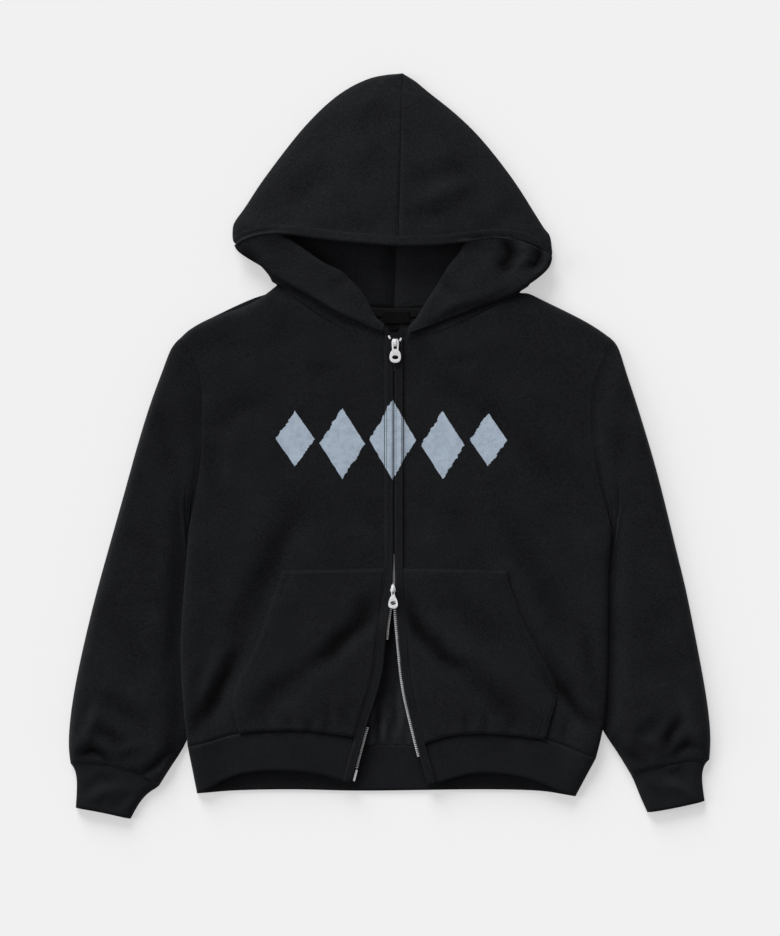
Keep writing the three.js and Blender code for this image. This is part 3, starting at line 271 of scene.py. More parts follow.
def printMask(tree, edgeCloud, x, y):
    wobble = calc(tree, "MULTIPLY", calc(tree, "SUBTRACT", edgeCloud, 0.5), inkLook["wobble"])
    shiftedX = calc(tree, "ADD", x, wobble)
    shiftedY = calc(tree, "SUBTRACT", y, wobble)
    nearest = None
    for centreX, centreY, halfWidth, halfHeight in lozenges:
        across = outFrom(tree, shiftedX, centreX, halfWidth)
        far = calc(tree, "ADD", across, outFrom(tree, shiftedY, centreY, halfHeight))
        nearest = far if nearest is None else calc(tree, "MINIMUM", nearest, far)
    return ramp(tree, nearest, *inkLook["edgeRamp"])


ribLook = {
    "pitch": 1.7,
    "clouds": {"washed": (40, 3), "mottled": (9, 3, 0.6), "fibres": (0.8, 2, 0.7), "rumples": (14, 3, 0.5)},
    "roughness": (0.3, 0.7, 0.84, 0.95),
    "ribRidgeLightAndShade": 0.1,
    "fibreHeight": 0.5,
    "ridgeDepth": 0.0001,
    "ridgeStrength": 0.7,
    "rumpleDepth": 0.001,
    "rumpleStrength": 0.5,
}


def ribMaterial(name):
    material, tree, shader = newMaterial(name, fleeceLook["sockets"])
    clouds = cloudsOf(tree, millimetres(tree)[0], ribLook)
    around = tree.nodes.new("ShaderNodeAttribute")
    around.attribute_name = "ribs"
    ridges = wave(tree, around.outputs["Fac"], ribLook["pitch"])
    # Rib ridges painted paler and the hollows between them darker: painted light and shade
    ribRidgeLightAndShade = calc(tree, "MULTIPLY", ridges, ribLook["ribRidgeLightAndShade"])
    clouds["washed"] = calc(tree, "ADD", clouds["washed"], ribRidgeLightAndShade)
    colour = blendColour(tree, toneAndCreaseShadeShare(tree, clouds), fleeceTone("dark"), fleeceTone("pale"))
    tree.links.new(colour, shader.inputs["Base Color"])
    tree.links.new(ramp(tree, clouds["mottled"], *ribLook["roughness"]), shader.inputs["Roughness"])
    height = calc(tree, "ADD", ridges, calc(tree, "MULTIPLY", clouds["fibres"], ribLook["fibreHeight"]))
    rumpled = addBump(tree, shader, clouds["rumples"], ribLook["rumpleDepth"], ribLook["rumpleStrength"])
    addBump(tree, shader, height, ribLook["ridgeDepth"], ribLook["ridgeStrength"], rumpled)
    return material


weaveLook = {
    "clouds": {"fibres": (0.7, 2, 0.7)},
    "over": 0.25,
    "toneRamp": (0.2, 0.9),
    "roughness": (0.3, 0.7, 0.55, 0.75),
    "depth": 0.0002,
    "strength": 0.8,
}
tapeLook = {
    "sockets": {"Specular IOR Level": 0.12, "Sheen Weight": 0.02, "Sheen Roughness": 0.4},
    "dark": (0.0018, 0.0019, 0.0022, 1),
    "pale": (0.0065, 0.0067, 0.0076, 1),
    "warp": 0.9,
    "weft": 0.7,
}
labelLook = {
    "sockets": {"Specular IOR Level": 0.12, "Sheen Weight": 0.0, "Sheen Roughness": 0.4},
    "dark": (0.0006, 0.0006, 0.0007, 1),
    "pale": (0.0016, 0.0016, 0.0018, 1),
    "warp": 0.5,
    "weft": 0.4,
}


def wovenMaterial(name, look):
    material, tree, shader = newMaterial(name, look["sockets"])
    place, axes = millimetres(tree)
    fibres = cloudsOf(tree, place, weaveLook)["fibres"]
    weave = calc(tree, "MULTIPLY", wave(tree, axes[0], look["warp"]), wave(tree, axes[1], look["weft"]))
    share = calc(tree, "ADD", calc(tree, "MULTIPLY", weave, weaveLook["over"]), fibres)
    colour = blendColour(tree, ramp(tree, share, *weaveLook["toneRamp"]), look["dark"], look["pale"])
    tree.links.new(colour, shader.inputs["Base Color"])
    tree.links.new(ramp(tree, fibres, *weaveLook["roughness"]), shader.inputs["Roughness"])
    addBump(tree, shader, calc(tree, "ADD", weave, fibres), weaveLook["depth"], weaveLook["strength"])
    return material


threadLook = {
    "sockets": {"Specular IOR Level": 0.2, "Sheen Weight": 0.05},
    "clouds": {"fibres": (1.5, 2, 0.7)},
    "twist": 0.5,
    "roughness": (0.3, 0.7, 0.5, 0.68),
    "depth": 0.00008,
    "strength": 0.7,
}


def threadMaterial(name, dark, pale):
    material, tree, shader = newMaterial(name, threadLook["sockets"])
    place, (x, y, z) = millimetres(tree)
    twist = wave(tree, calc(tree, "ADD", x, calc(tree, "ADD", y, z)), threadLook["twist"])
    fibres = cloudsOf(tree, place, threadLook)["fibres"]
    tree.links.new(blendColour(tree, fibres, dark, pale), shader.inputs["Base Color"])
    tree.links.new(ramp(tree, fibres, *threadLook["roughness"]), shader.inputs["Roughness"])
    addBump(tree, shader, twist, threadLook["depth"], threadLook["strength"])
    return material


nickelLook = {
    "sockets": {"Metallic": 0.35},
    "dull": (0.80, 0.80, 0.81, 1),
    "bright": (0.96, 0.96, 0.97, 1),
    "clouds": {"wornAndShaded": (2.4, 4, 0.65), "brushed": (0.35, 2, 0.6)},
    "roughness": (0.3, 0.7, 0.2, 0.36),
    "depth": 0.00006,
    "strength": 0.5,
}


def nickelMaterial():
    material, tree, shader = newMaterial("nickel", nickelLook["sockets"])
    clouds = cloudsOf(tree, millimetres(tree)[0], nickelLook)
    colour = blendColour(tree, clouds["wornAndShaded"], nickelLook["dull"], nickelLook["bright"])
    tree.links.new(colour, shader.inputs["Base Color"])
    tree.links.new(ramp(tree, clouds["wornAndShaded"], *nickelLook["roughness"]), shader.inputs["Roughness"])
    addBump(tree, shader, clouds["brushed"], nickelLook["depth"], nickelLook["strength"])
    return material


fleece = fleeceMaterial("fleece")
fleecePrinted = fleeceMaterial("fleecePrinted", printed=True)
# Paler copy of the fleece for the hood: painted light, for its top lit more strongly
fleecePaintedLightHood = fleeceMaterial("fleecePaintedLightHood", 1.2)
# Paler copy of the fleece for the back panel: painted light, making up for the little light that reaches
# inside the open zip
fleecePaintedLightInside = fleeceMaterial("fleecePaintedLightInside", 1.35)
rib = ribMaterial("rib")
tapeWeave = wovenMaterial("tapeWeave", tapeLook)
labelWeave = wovenMaterial("labelWeave", labelLook)
thread = threadMaterial("thread", (0.0045, 0.0048, 0.0055, 1), (0.0105, 0.011, 0.0122, 1))
# Near-black cords, used only as painted shadow along edges
paintedShadowCord = threadMaterial("paintedShadowCord", (0.0006, 0.0006, 0.0007, 1), (0.0022, 0.0023, 0.0026, 1))
nickel = nickelMaterial()
print("stage: materials")


# Cloth on the form of its solid
form = {"rimAngle": math.radians(62), "weld": 2e-6, "facesWithin": 1.0, "shapesWithin": 2.6}


def addObject(name, mesh, material, body="garment"):
    piece = bpy.data.objects.new(name, mesh)
    scene.collection.objects.link(piece)
    mesh.materials.clear()
    mesh.materials.append(material)
    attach(piece, body)
    return piece


def weldedForm(mesh):
    shape = bmesh.new()
    shape.from_mesh(mesh)
    bmesh.ops.remove_doubles(shape, verts=shape.verts, dist=form["weld"])
    return shape


def keepForm(shape, mesh):
    shape.to_mesh(mesh)
    shape.free()


def smoothCopy(name, plan, material):
    mesh = frame["nodes"][plan["node"]].data.copy()
    piece = addObject(name, mesh, material)
    shape = weldedForm(mesh)
    bmesh.ops.join_triangles(
        shape,
        faces=shape.faces,
        angle_face_threshold=form["facesWithin"],
        angle_shape_threshold=form["shapesWithin"],
    )
    creases = shape.edges.layers.float.new("crease_edge")
    for edge in shape.edges:
        if len(edge.link_faces) == 2 and edge.calc_face_angle() > form["rimAngle"]:
            edge[creases] = 1.0
    keepForm(shape, mesh)
    subdivide = piece.modifiers.new("smooth", "SUBSURF")
    subdivide.levels = subdivide.render_levels = plan["level"]
    subdivide.use_limit_surface = False
    bpy.context.view_layer.update()
    smooth = bpy.data.meshes.new_from_object(piece.evaluated_get(bpy.context.evaluated_depsgraph_get()))
    piece.modifiers.clear()
    piece.data = smooth
    smooth.name = name
    bpy.data.meshes.remove(mesh)
    smooth.shade_smooth()
    return piece


def getPoints(piece):
    flat = np.zeros(len(piece.data.vertices) * 3)
    piece.data.vertices.foreach_get("co", flat)
    return flat.reshape(-1, 3) / mm


def setPoints(piece, points):
    piece.data.vertices.foreach_set("co", (points * mm).ravel())
    piece.data.update()


def stepped(values, low, high):
    share = np.clip((values - low) / (high - low), 0, 1)
    return share * share * (3 - 2 * share)


def waves(points, size, seed):
    return np.array([noise.noise((x / size + seed, y / size - seed, z / size)) for x, y, z in points])


# A point's own value, kept on the mesh for its material
def keepValue(piece, name, values):
    kept = piece.data.attributes.get(name) or piece.data.attributes.new(name, "FLOAT", "POINT")
    kept.data.foreach_set("value", (values + np.zeros(len(kept.data))).astype(np.float32))


creaseShadeRise = 17


# Painted light and shade for each point, from the height of its crease: paler on ridges, darker in troughs
def keepCreaseShade(piece, rise):
    keepValue(piece, "creaseShade", np.clip(0.5 + rise / creaseShadeRise, 0, 1))


crease = {"depth": 1.45, "bend": 5, "bendSize": 34, "bendSeeds": (3.7, 8.1), "bank": 0.38, "ends": 0.1}


# Creases listed in millimetres: height, width, then the points they run through.
# A trough has a negative height, and low ridges beside it.
def creaseRise(points, creases):
    flat = points * (1, 1, 0)
    bend = np.stack([waves(flat, crease["bendSize"], seed) for seed in crease["bendSeeds"]], 1)
    spots = points[:, :2] + bend * crease["bend"]
    rise = np.zeros(len(points))
    for height, width, *path in creases:
        corners = np.array(path, float)
        lengths = np.linalg.norm(np.diff(corners, axis=0), axis=1)
        before = np.concatenate([[0], np.cumsum(lengths)])
        near = np.full(len(points), np.inf)
        travelled = np.zeros(len(points))
        for k, length in enumerate(lengths):
            run = corners[k + 1] - corners[k]
            along = np.clip(((spots - corners[k]) @ run) / (run @ run), 0, 1)
            away = np.linalg.norm(spots - corners[k] - along[:, None] * run, axis=1)
            closer = away < near
            near = np.where(closer, away, near)
            travelled = np.where(closer, (before[k] + along * length) / before[-1], travelled)
        fade = np.clip(1 + crease["ends"] - (2 * travelled - 1) ** 2, crease["ends"], 1)
        bank = crease["bank"] * np.exp(-((near / (2 * width)) ** 2))
        rise += height * fade * (np.exp(-((near / width) ** 2)) - bank)
    return rise * crease["depth"]


# The upper layers move together, so that no layer comes through the one above it
frontCreases = [
    (-6.4, 13, (-17, -190), (-44, -228), (-74, -260), (-112, -294)),
    (-3.0, 17, (-108, -290), (-150, -318), (-190, -354)),
    (-6.6, 12, (15, -192), (28, -234), (60, -268), (104, -300)),
    (-3.4, 17, (98, -296), (132, -322), (168, -362)),
    (-4.6, 18, (-112, -70), (-146, -132), (-180, -200), (-202, -262)),
    (-6.0, 12, (-192, -250), (-216, -300), (-244, -344), (-268, -378)),
    (-2.2, 10, (-240, -280), (-258, -322), (-267, -360)),
    (1.4, 12, (-222, -262), (-248, -316), (-264, -350)),
    (-2.0, 16, (-244, 18), (-196, 46), (-142, 66)),
    (-1.8, 15, (-238, 20), (-236, -30), (-226, -80)),
    (-1.6, 18, (-262, 132), (-196, 128), (-120, 150)),
    (-2.2, 20, (110, 60), (152, 18), (198, -30), (250, -72)),
    (-1.6, 20, (36, 110), (80, 70), (128, 30)),
    (-2.0, 24, (120, -60), (160, -120), (198, -200), (220, -260)),
    (-1.4, 20, (60, -60), (100, -120), (132, -176)),
    (-2.0, 20, (66, -190), (110, -232), (150, -262)),
    (-2.8, 15, (176, -250), (206, -296), (250, -336)),
    (-5.4, 10, (206, -306), (236, -340), (264, -366)),
    (-3.2, 12, (244, -220), (256, -290), (264, -340)),
    (-3.0, 9, (-112, 196), (-82, 172), (-50, 152)),
    (-3.2, 10, (78, 176), (108, 192), (140, 206)),
    (-2.6, 8, (118, 208), (140, 206), (160, 196)),
    (1.6, 16, (140, -150), (176, -200), (206, -262)),
    (-2.2, 7, (-86, -334), (-85, -352), (-84, -370)),
    (-2.0, 6, (-112, -352), (-110, -371)),
    (1.4, 6, (-99, -350), (-99, -371)),
    (-1.8, 7, (-136, -350), (-134, -372)),
    (-2.0, 7, (-170, -346), (-168, -372)),
    (-1.8, 7, (-62, -336), (-64, -366)),
    (-2.0, 7, (93, -344), (94, -373)),
    (-1.8, 6, (120, -344), (119, -372)),
    (1.4, 6, (106, -350), (107, -373)),
    (-2.0, 7, (150, -350), (148, -377)),
    (-1.6, 7, (190, -352), (186, -382)),
    (-1.6, 8, (226, -352), (220, -386)),
    (-1.2, 10, (-112, 100), (-66, 96)),
    (-1.2, 10, (110, 116), (70, 104)),
    (1.2, 16, (-60, -96), (-22, -128)),
    (1.2, 16, (62, -110), (24, -140)),
]
sleeveCreases = [
    (-6.0, 6, (-409, -400), (-392, -392), (-376, -397), (-364, -411)),
    (3.6, 9, (-412, -390), (-398, -376), (-384, -350), (-378, -330)),
    (-2.6, 13, (-396, -322), (-366, -330), (-336, -350), (-314, -372)),
    (-4.2, 8, (-388, -366), (-366, -372), (-350, -388)),
    (2.2, 7, (-360, -404), (-344, -386), (-328, -392)),
    (-5.0, 6, (-337, -419), (-324, -421), (-305, -411), (-284, -395)),
    (2.0, 6, (-352, -414), (-336, -410), (-318, -418)),
    (-2.2, 8, (-300, -372), (-290, -392), (-284, -404)),
    (-1.4, 14, (-308, 60), (-294, 10), (-288, -50)),
    (-1.0, 20, (-350, -80), (-326, -130), (-306, -190)),
    (-1.2, 22, (-388, -200), (-356, -240), (-316, -280)),
    (-1.0, 16, (-276, 40), (-280, -20), (-280, -80)),
    (-4.8, 7, (398, -394), (382, -386), (368, -392), (356, -406)),
    (2.2, 9, (400, -380), (386, -366), (376, -340), (370, -318)),
    (-5.2, 7, (372, -350), (362, -372), (350, -394)),
    (-2.4, 10, (346, -344), (330, -366), (312, -376)),
    (2.0, 7, (350, -400), (334, -380), (318, -386)),
    (-3.0, 6, (334, -410), (320, -410), (304, -400), (286, -384)),
    (2.0, 6, (344, -408), (328, -404), (312, -410)),
    (-2.0, 9, (300, -360), (290, -380), (282, -392)),
    (-1.4, 14, (304, 70), (292, 20), (288, -40)),
    (-1.0, 20, (340, -60), (322, -110), (304, -170)),
    (-1.2, 22, (380, -180), (348, -220), (310, -262)),
]
hoodCreases = [
    (-1.8, 15, (-56, 416), (-26, 430), (2, 436)),
    (-1.4, 18, (-160, 320), (-116, 346), (-70, 356)),
    (-2.4, 14, (12, 288), (56, 304), (98, 326), (118, 344)),
    (-1.6, 16, (20, 336), (62, 350), (98, 362)),
    (-1.4, 16, (-150, 296), (-122, 316), (-96, 342)),
    (-1.2, 12, (-122, 290), (-60, 285), (-12, 283)),
    (-1.6, 14, (130, 292), (150, 304), (172, 322)),
    (1.8, 16, (34, 316), (82, 336), (112, 352)),
    (1.4, 18, (-60, 376), (-20, 390)),
    (-1.6, 10, (-84, 196), (-64, 214), (-46, 236)),
    (-1.6, 10, (88, 190), (66, 208), (50, 230)),
    (-8.6, 8, (144, 268), (152, 248), (138, 222)),
    (-7.0, 6, (190, 258), (186, 238), (174, 226)),
    (4.4, 6, (168, 268), (172, 246), (160, 230)),
    (-4.2, 7, (-140, 205), (-122, 192), (-83, 167), (-51, 153), (-16, 148)),
    (-4.2, 7, (160, 207), (131, 190), (79, 171), (36, 152)),
    (-3.6, 9, (-196, 256), (-184, 244), (-170, 236)),
    (-2.2, 9, (-196, 246), (-170, 232), (-148, 226)),
    (-2.2, 12, (8, 250), (18, 226), (26, 196)),
    (-2.0, 12, (-20, 252), (-28, 228), (-34, 200)),
]
cuffCreases = [
    (3.2, 8, (-402, -463), (-378, -448), (-354, -436)),
    (-1.6, 6, (-398, -440), (-380, -430), (-360, -434)),
    (-1.8, 7, (-368, -470), (-350, -456), (-338, -450)),
    (3.2, 8, (392, -455), (370, -441), (346, -430)),
    (-1.6, 6, (388, -430), (370, -422), (350, -426)),
    (-1.8, 7, (358, -462), (342, -449), (328, -442)),
]
# The undersides lie on the table, so their creases stand up from it
underCreases = [
    (2.6, 10, (-180, 60), (-110, 0), (-60, -40)),
    (2.4, 9, (170, 90), (120, 40), (60, -10)),
    (2.6, 12, (-120, -160), (-40, -190), (40, -230)),
    (2.4, 10, (150, -180), (176, -230), (190, -300)),
    (2.6, 10, (-200, -240), (-180, -290), (-150, -340)),
    (2.0, 8, (-60, 140), (30, 112)),
    (2.4, 10, (-372, -180), (-350, -240), (-330, -300)),
    (2.2, 6, (-398, -372), (-346, -396)),
    (2.2, 10, (-340, 10), (-330, -40), (-318, -90)),
    (2.4, 10, (362, -170), (340, -230), (322, -290)),
    (2.2, 6, (392, -366), (338, -388)),
    (2.2, 10, (328, 14), (310, -86)),
    (2.6, 10, (-130, 300), (-90, 340), (-60, 380)),
    (2.4, 10, (120, 290), (90, 350), (60, 400)),
    (2.0, 9, (-20, 250), (40, 330)),
]
# Inside the back, seen through the open zip, gathers run up from the band
insideCreases = [
    (4.4, 5, (-29, -392), (-30, -362), (-22, -330)),
    (4.0, 5, (-12, -392), (-13, -356), (-8, -318)),
    (4.6, 5, (3, -392), (5, -352), (9, -306)),
    (4.0, 5, (18, -392), (17, -356), (12, -326)),
    (4.2, 5, (31, -392), (28, -360), (24, -334)),
]


unevenLook = {"broad": (1.1, 38, 1.3), "fine": (0.5, 15, 5.9)}  # height, size and seed of each ripple
underSide = {"heights": (3.2, 7), "rises": (0.05, 0.5)}


def relax(piece, creases, heights, unevenness=0.8):
    points = getPoints(piece)
    upper = stepped(points[:, 2], *heights)
    ripples = sum(high * waves(points * (1, 1, 0), size, seed) for high, size, seed in unevenLook.values())
    rise = creaseRise(points, creases) + unevenness * ripples
    points[:, 2] += upper * rise
    # Painted light and shade from the height of each crease
    keepCreaseShade(piece, upper * rise)
    lifted = np.clip(creaseRise(points, underCreases), 0, None)
    lowest = 1 - stepped(points[:, 2], *underSide["heights"])
    points[:, 2] += lowest * lifted * stepped(lifted, *underSide["rises"])
    points[:, 2] = np.maximum(points[:, 2], 0)
    setPoints(piece, points)


def surfaceOf(piece):
    corners = [tuple(v.co) for v in piece.data.vertices]
    return BVHTree.FromPolygons(corners, [tuple(f.vertices) for f in piece.data.polygons])


seam = {"share": 0.62, "reach": 0.9, "neckReach": 2.6}


# Sewn edges meet: each point near the other piece moves over more than half of the gap between them
def closeSeams(firstPieces, secondPieces, reach=seam["reach"]):
    pieces = [*firstPieces, *secondPieces]
    spots = {piece: getPoints(piece) for piece in pieces}
    trees = {piece: surfaceOf(piece) for piece in pieces}
    for group, others in ((firstPieces, secondPieces), (secondPieces, firstPieces)):
        for piece in group:
            points = spots[piece].copy()
            for k, point in enumerate(spots[piece]):
                found = [trees[other].find_nearest(Vector(point * mm), reach * mm) for other in others]
                found = [hit for hit in found if hit[0] is not None]
                if found:
                    nearest = min(found, key=lambda hit: hit[3])
                    step = np.array(nearest[0]) / mm - point
                    points[k, :2] += step[:2] * seam["share"]
            setPoints(piece, points)


def nearTo(points, x, y, reach):
    return np.exp(-(((points[:, 0] - x) ** 2 + (points[:, 1] - y) ** 2) / reach**2))


# Small shifts in plan: x, y, shift in x and y, reach
def nudge(piece, moves):
    points = getPoints(piece)
    moved = points.copy()
    for x, y, shiftX, shiftY, reach in moves:
        weight = nearTo(points, x, y, reach)
        moved[:, 0] += weight * shiftX
        moved[:, 1] += weight * shiftY
    setPoints(piece, moved)


calmShare = 0.7


# Heights evened out around one place
def calm(piece, x, y, reach, times):
    points = getPoints(piece)
    pairs = np.array([edge.vertices[:] for edge in piece.data.edges])
    count = np.bincount(pairs.ravel(), minlength=len(points))
    weight = nearTo(points, x, y, reach)
    for turn in range(times):
        total = np.bincount(pairs[:, 0], points[pairs[:, 1], 2], len(points))
        total += np.bincount(pairs[:, 1], points[pairs[:, 0], 2], len(points))
        points[:, 2] += weight * (total / np.maximum(count, 1) - points[:, 2]) * calmShare
    setPoints(piece, points)


def declare(plan):
    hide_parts(plan["node"])


# The left and the right piece of one kind, each on the piece that carries it
def layPair(kind, plans, material, creases, heights, unevenness=0.8, lift=0):
    pieces = {}
    for side, plan in plans.items():
        pieces[side] = smoothCopy(side + kind, plan, material)
        relax(pieces[side], creases, heights, unevenness)
        setPoints(pieces[side], getPoints(pieces[side]) + (0, 0, lift))
        declare(plan)
    return pieces


backPanel = {"node": "back", "slot": "fleece", "level": 3, "flat": (0.566, 0.614), "area": 0.31}
backInside = {
    "half": 280,
    "neck": 190,
    "sideFade": (20, 60),
    "hemFade": (-396, -389),
    "neckFade": (10, 50),
    "gatherShade": 2.6,
}
back = smoothCopy("backPanel", backPanel, fleecePaintedLightInside)
points = getPoints(back)
inner = stepped(backInside["half"] - np.abs(points[:, 0]), *backInside["sideFade"])
inner = inner * stepped(points[:, 1], *backInside["hemFade"])
inner = inner * stepped(backInside["neck"] - points[:, 1], *backInside["neckFade"])
gathers = creaseRise(points, insideCreases)
points[:, 2] += inner * (np.clip(creaseRise(points, underCreases), 0, None) + np.clip(gathers, 0, None))
setPoints(back, points)
# Painted light and shade on the gathers inside the back, stronger than on the rest of the cloth
keepCreaseShade(back, inner * gathers * backInside["gatherShade"])
declare(backPanel)

# Between these two heights a point passes from the underside to the upper layer
frontHeights = (6, 12)
tapeHeights = (2, 6)
hoodHeights = (14, 20)
cuffHeights = (6, 10)
bandHeights = (8, 13)

frontPanels = {
    "left": {"node": "front_left", "slot": "fleece", "level": 2, "flat": (0.30, 0.60), "area": 0.146},
    "right": {"node": "front_right", "slot": "fleece", "level": 2, "flat": (0.30, 0.61), "area": 0.152},
}
fronts = layPair("Front", frontPanels, fleecePrinted, frontCreases, frontHeights)

pocketPanels = {
    "left": {"node": "pocket_left", "slot": "fleece", "level": 2, "flat": (0.20, 0.22), "area": 0.034},
    "right": {"node": "pocket_right", "slot": "fleece", "level": 2, "flat": (0.20, 0.23), "area": 0.034},
}
pocketLift, placketLift = 0.45, 0.72
pockets = layPair("Pocket", pocketPanels, fleece, frontCreases, frontHeights, lift=pocketLift)

placketStrips = {
    "left": {"node": "placket_left", "slot": "fleece", "level": 2, "flat": (0.012, 0.60)},
    "right": {"node": "placket_right", "slot": "fleece", "level": 2, "flat": (0.012, 0.60)},
}
plackets = layPair(
    "Placket", placketStrips, fleecePrinted, frontCreases, frontHeights, lift=placketLift
)

zipTapes = {
    "left": {"node": "zip_tape_left", "slot": "tape", "level": 2, "flat": (0.012, 0.60)},
    "right": {"node": "zip_tape_right", "slot": "tape", "level": 2, "flat": (0.012, 0.60)},
}
tapes = layPair("Tape", zipTapes, tapeWeave, frontCreases, tapeHeights)

sleeveTubes = {
    "left": {"node": "sleeve_left", "slot": "fleece", "level": 2, "flat": (0.29, 0.58), "area": 0.13},
    "right": {"node": "sleeve_right", "slot": "fleece", "level": 2, "flat": (0.29, 0.57), "area": 0.1155},
}
sleeves = layPair("Sleeve", sleeveTubes, fleece, sleeveCreases, frontHeights, 1.2)

hoodHalves = {
    "left": {"node": "hood_left", "slot": "fleece", "level": 2, "flat": (0.36, 0.42), "area": 0.10},
    "right": {"node": "hood_right", "slot": "fleece", "level": 2, "flat": (0.36, 0.42), "area": 0.092},
}
hoods = layPair("Hood", hoodHalves, fleecePaintedLightHood, hoodCreases, hoodHeights, 1.2)
print("stage: panels")


# Ribs run along the cuffs and up the band, closer together where the edge turns down
def layRibs(piece, plan):
    points = getPoints(piece)
    reach = (points[:, :2] - plan["centre"]) @ np.array(plan["across"])
    top, half = points[:, 2].max(), np.abs(reach).max()
    depth = np.minimum(top - points[:, 2], points[:, 2] - points[:, 2].min())
    turned = stepped(np.abs(reach), half - plan["turn"], half - plan["turn"] * 0.4)
    keepValue(piece, "ribs", reach + np.sign(reach) * depth * turned)


cuffTubes = {
    "left": {
        "node": "cuff_left",
        "slot": "rib",
        "level": 2,
        "flat": (0.19, 0.06),
        "across": (0.946, -0.324),
        "centre": (-369, -452),
        "turn": 14,
    },
    "right": {
        "node": "cuff_right",
        "slot": "rib",
        "level": 2,
        "flat": (0.18, 0.06),
        "area": 0.01,
        "across": (0.959, 0.283),
        "centre": (361, -444),
        "turn": 14,
    },
}
cuffs = layPair("Cuff", cuffTubes, rib, cuffCreases, cuffHeights)
for side, plan in cuffTubes.items():
    layRibs(cuffs[side], plan)

hemBand = {
    "node": "hem_band",
    "slot": "rib",
    "level": 2,
    "flat": (1.07, 0.066),
    "area": 0.0552,
    "across": (1, 0),
    "centre": (-3, -420),
    "turn": 16,
}
band = smoothCopy("hemBand", hemBand, rib)
relax(band, frontCreases, bandHeights, 0.6)
layRibs(band, hemBand)
declare(hemBand)
print("stage: ribs")


# Neck tape and labels
neckBits = {
    "neckTape": {"node": "neck_tape", "slot": "tape", "level": 2, "flat": (0.26, 0.013)},
    "neckLabel": {"node": "neck_label", "slot": "label", "level": 2, "flat": (0.036, 0.016)},
    "sizeTab": {"node": "size_tab", "slot": "label", "level": 2, "flat": (0.0134, 0.015)},
}
neckPieces = {}
for name, plan in neckBits.items():
    neckPieces[name] = smoothCopy(name, plan, tapeWeave if plan["slot"] == "tape" else labelWeave)
    declare(plan)
print("stage: neck")


# Sliders, pulls, stops and pin keep their solids' form, with their edges eased
hardware = {
    "topSlider": {"node": "top_slider", "body": "garment", "edge": 0.35},
    "bottomSlider": {"node": "bottom_slider", "body": "garment", "edge": 0.35, "taper": 0.5},
    "topPull": {"node": "top_pull", "body": "top_pull", "edge": 0.3},
    "bottomPull": {"node": "bottom_pull", "body": "bottom_pull", "edge": 0.3, "taper": 0.55},
    "topStopLeft": {"node": "top_stop_left", "body": "garment", "edge": 0.3},
    "topStopRight": {"node": "top_stop_right", "body": "garment", "edge": 0.3},
    "endPin": {"node": "end_pin", "body": "garment", "edge": 0.3},
}
metalForm = {"flatAngle": 0.03, "sharpAngle": 0.6, "segments": 2, "taperRun": 1.6}


# Narrower towards the top, down to the plan's share of the width
def taperForm(shape, plan):
    low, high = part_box(plan["node"])
    middle = (low.x + high.x) / 2
    for corner in shape.verts:
        share = min(1, max(0, (corner.co.y - low.y) / (high.y - low.y)))
        narrowing = (1 - plan["taper"]) * min(1, share * metalForm["taperRun"])
        corner.co.x = middle + (corner.co.x - middle) * (1 - narrowing)


for name, plan in hardware.items():
    mesh = frame["nodes"][plan["node"]].data.copy()
    mesh.name = name
    piece = addObject(name, mesh, nickel, plan["body"])
    shape = weldedForm(mesh)
    if "taper" in plan:
        taperForm(shape, plan)
    bmesh.ops.dissolve_limit(shape, angle_limit=metalForm["flatAngle"], verts=shape.verts, edges=shape.edges)
    shared = [edge for edge in shape.edges if len(edge.link_faces) == 2]
    sharp = [edge for edge in shared if edge.calc_face_angle() > metalForm["sharpAngle"]]
    bmesh.ops.bevel(
        shape,
        geom=sharp,
        offset=plan["edge"] * mm,
        segments=metalForm["segments"],
        profile=0.5,
        affect="EDGES",
        clamp_overlap=True,
    )
    bmesh.ops.triangulate(shape, faces=shape.faces)
    keepForm(shape, mesh)
    mesh.shade_smooth()
    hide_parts(plan["node"])
print("stage: hardware")

# Under the arms: shifts of the sleeve's edge, and where sleeve and front are calmed
underarms = {
    "left": {
        "moves": [(-270, -105, 2.0, 0, 14), (-268.5, -128, 2.6, 0, 16), (-267, -150, 2.2, 0, 14)],
        "sleeve": (-276, -95, 30, 14),
        "front": (-264.96, -95, 22, 6),
    },
    "right": {
        "moves": [(288, -100, -2.0, 0, 14), (286, -125, -2.8, 0, 16), (284, -150, -2.2, 0, 14)],
        "sleeve": (293, -90, 30, 14),
        "front": (281.28, -90, 22, 6),
    },
}
closeSeams([hoods["left"]], [hoods["right"]])
closeSeams([back, *fronts.values()], [band])
closeSeams([back, *fronts.values()], [*hoods.values()], seam["neckReach"])
for side in underarms:
    closeSeams([sleeves[side]], [back, fronts[side], cuffs[side]])
for side, underarm in underarms.items():
    nudge(sleeves[side], underarm["moves"])
    calm(sleeves[side], *underarm["sleeve"])
    calm(fronts[side], *underarm["front"])
print("stage: seams")


# Sewing, laid on the surface that a straight look down meets
def surfaces(pieces):
    return [surfaceOf(piece) for piece in pieces]


dropFrom = 0.1


def dropOnto(trees, x, y):
    best = None
    for tree in trees:
        hit, normal, face, far = tree.ray_cast(Vector((x * mm, y * mm, dropFrom)), Vector((0, 0, -1)))
        if hit and (best is None or hit.z > best[0].z):
            best = (hit, normal)
    return best


def lengthsAlong(corners):
    return np.concatenate([[0], np.cumsum(np.linalg.norm(np.diff(corners, axis=0), axis=1))])


def placesOn(corners, lengths, places):
    return np.stack([np.interp(places, lengths, column) for column in corners.T], 1)


def spread(path, step):
    corners = np.array(path, float)
    lengths = lengthsAlong(corners)
    count = max(2, round(lengths[-1] / step))
    return placesOn(corners, lengths, (np.arange(count) + 0.5) * lengths[-1] / count)


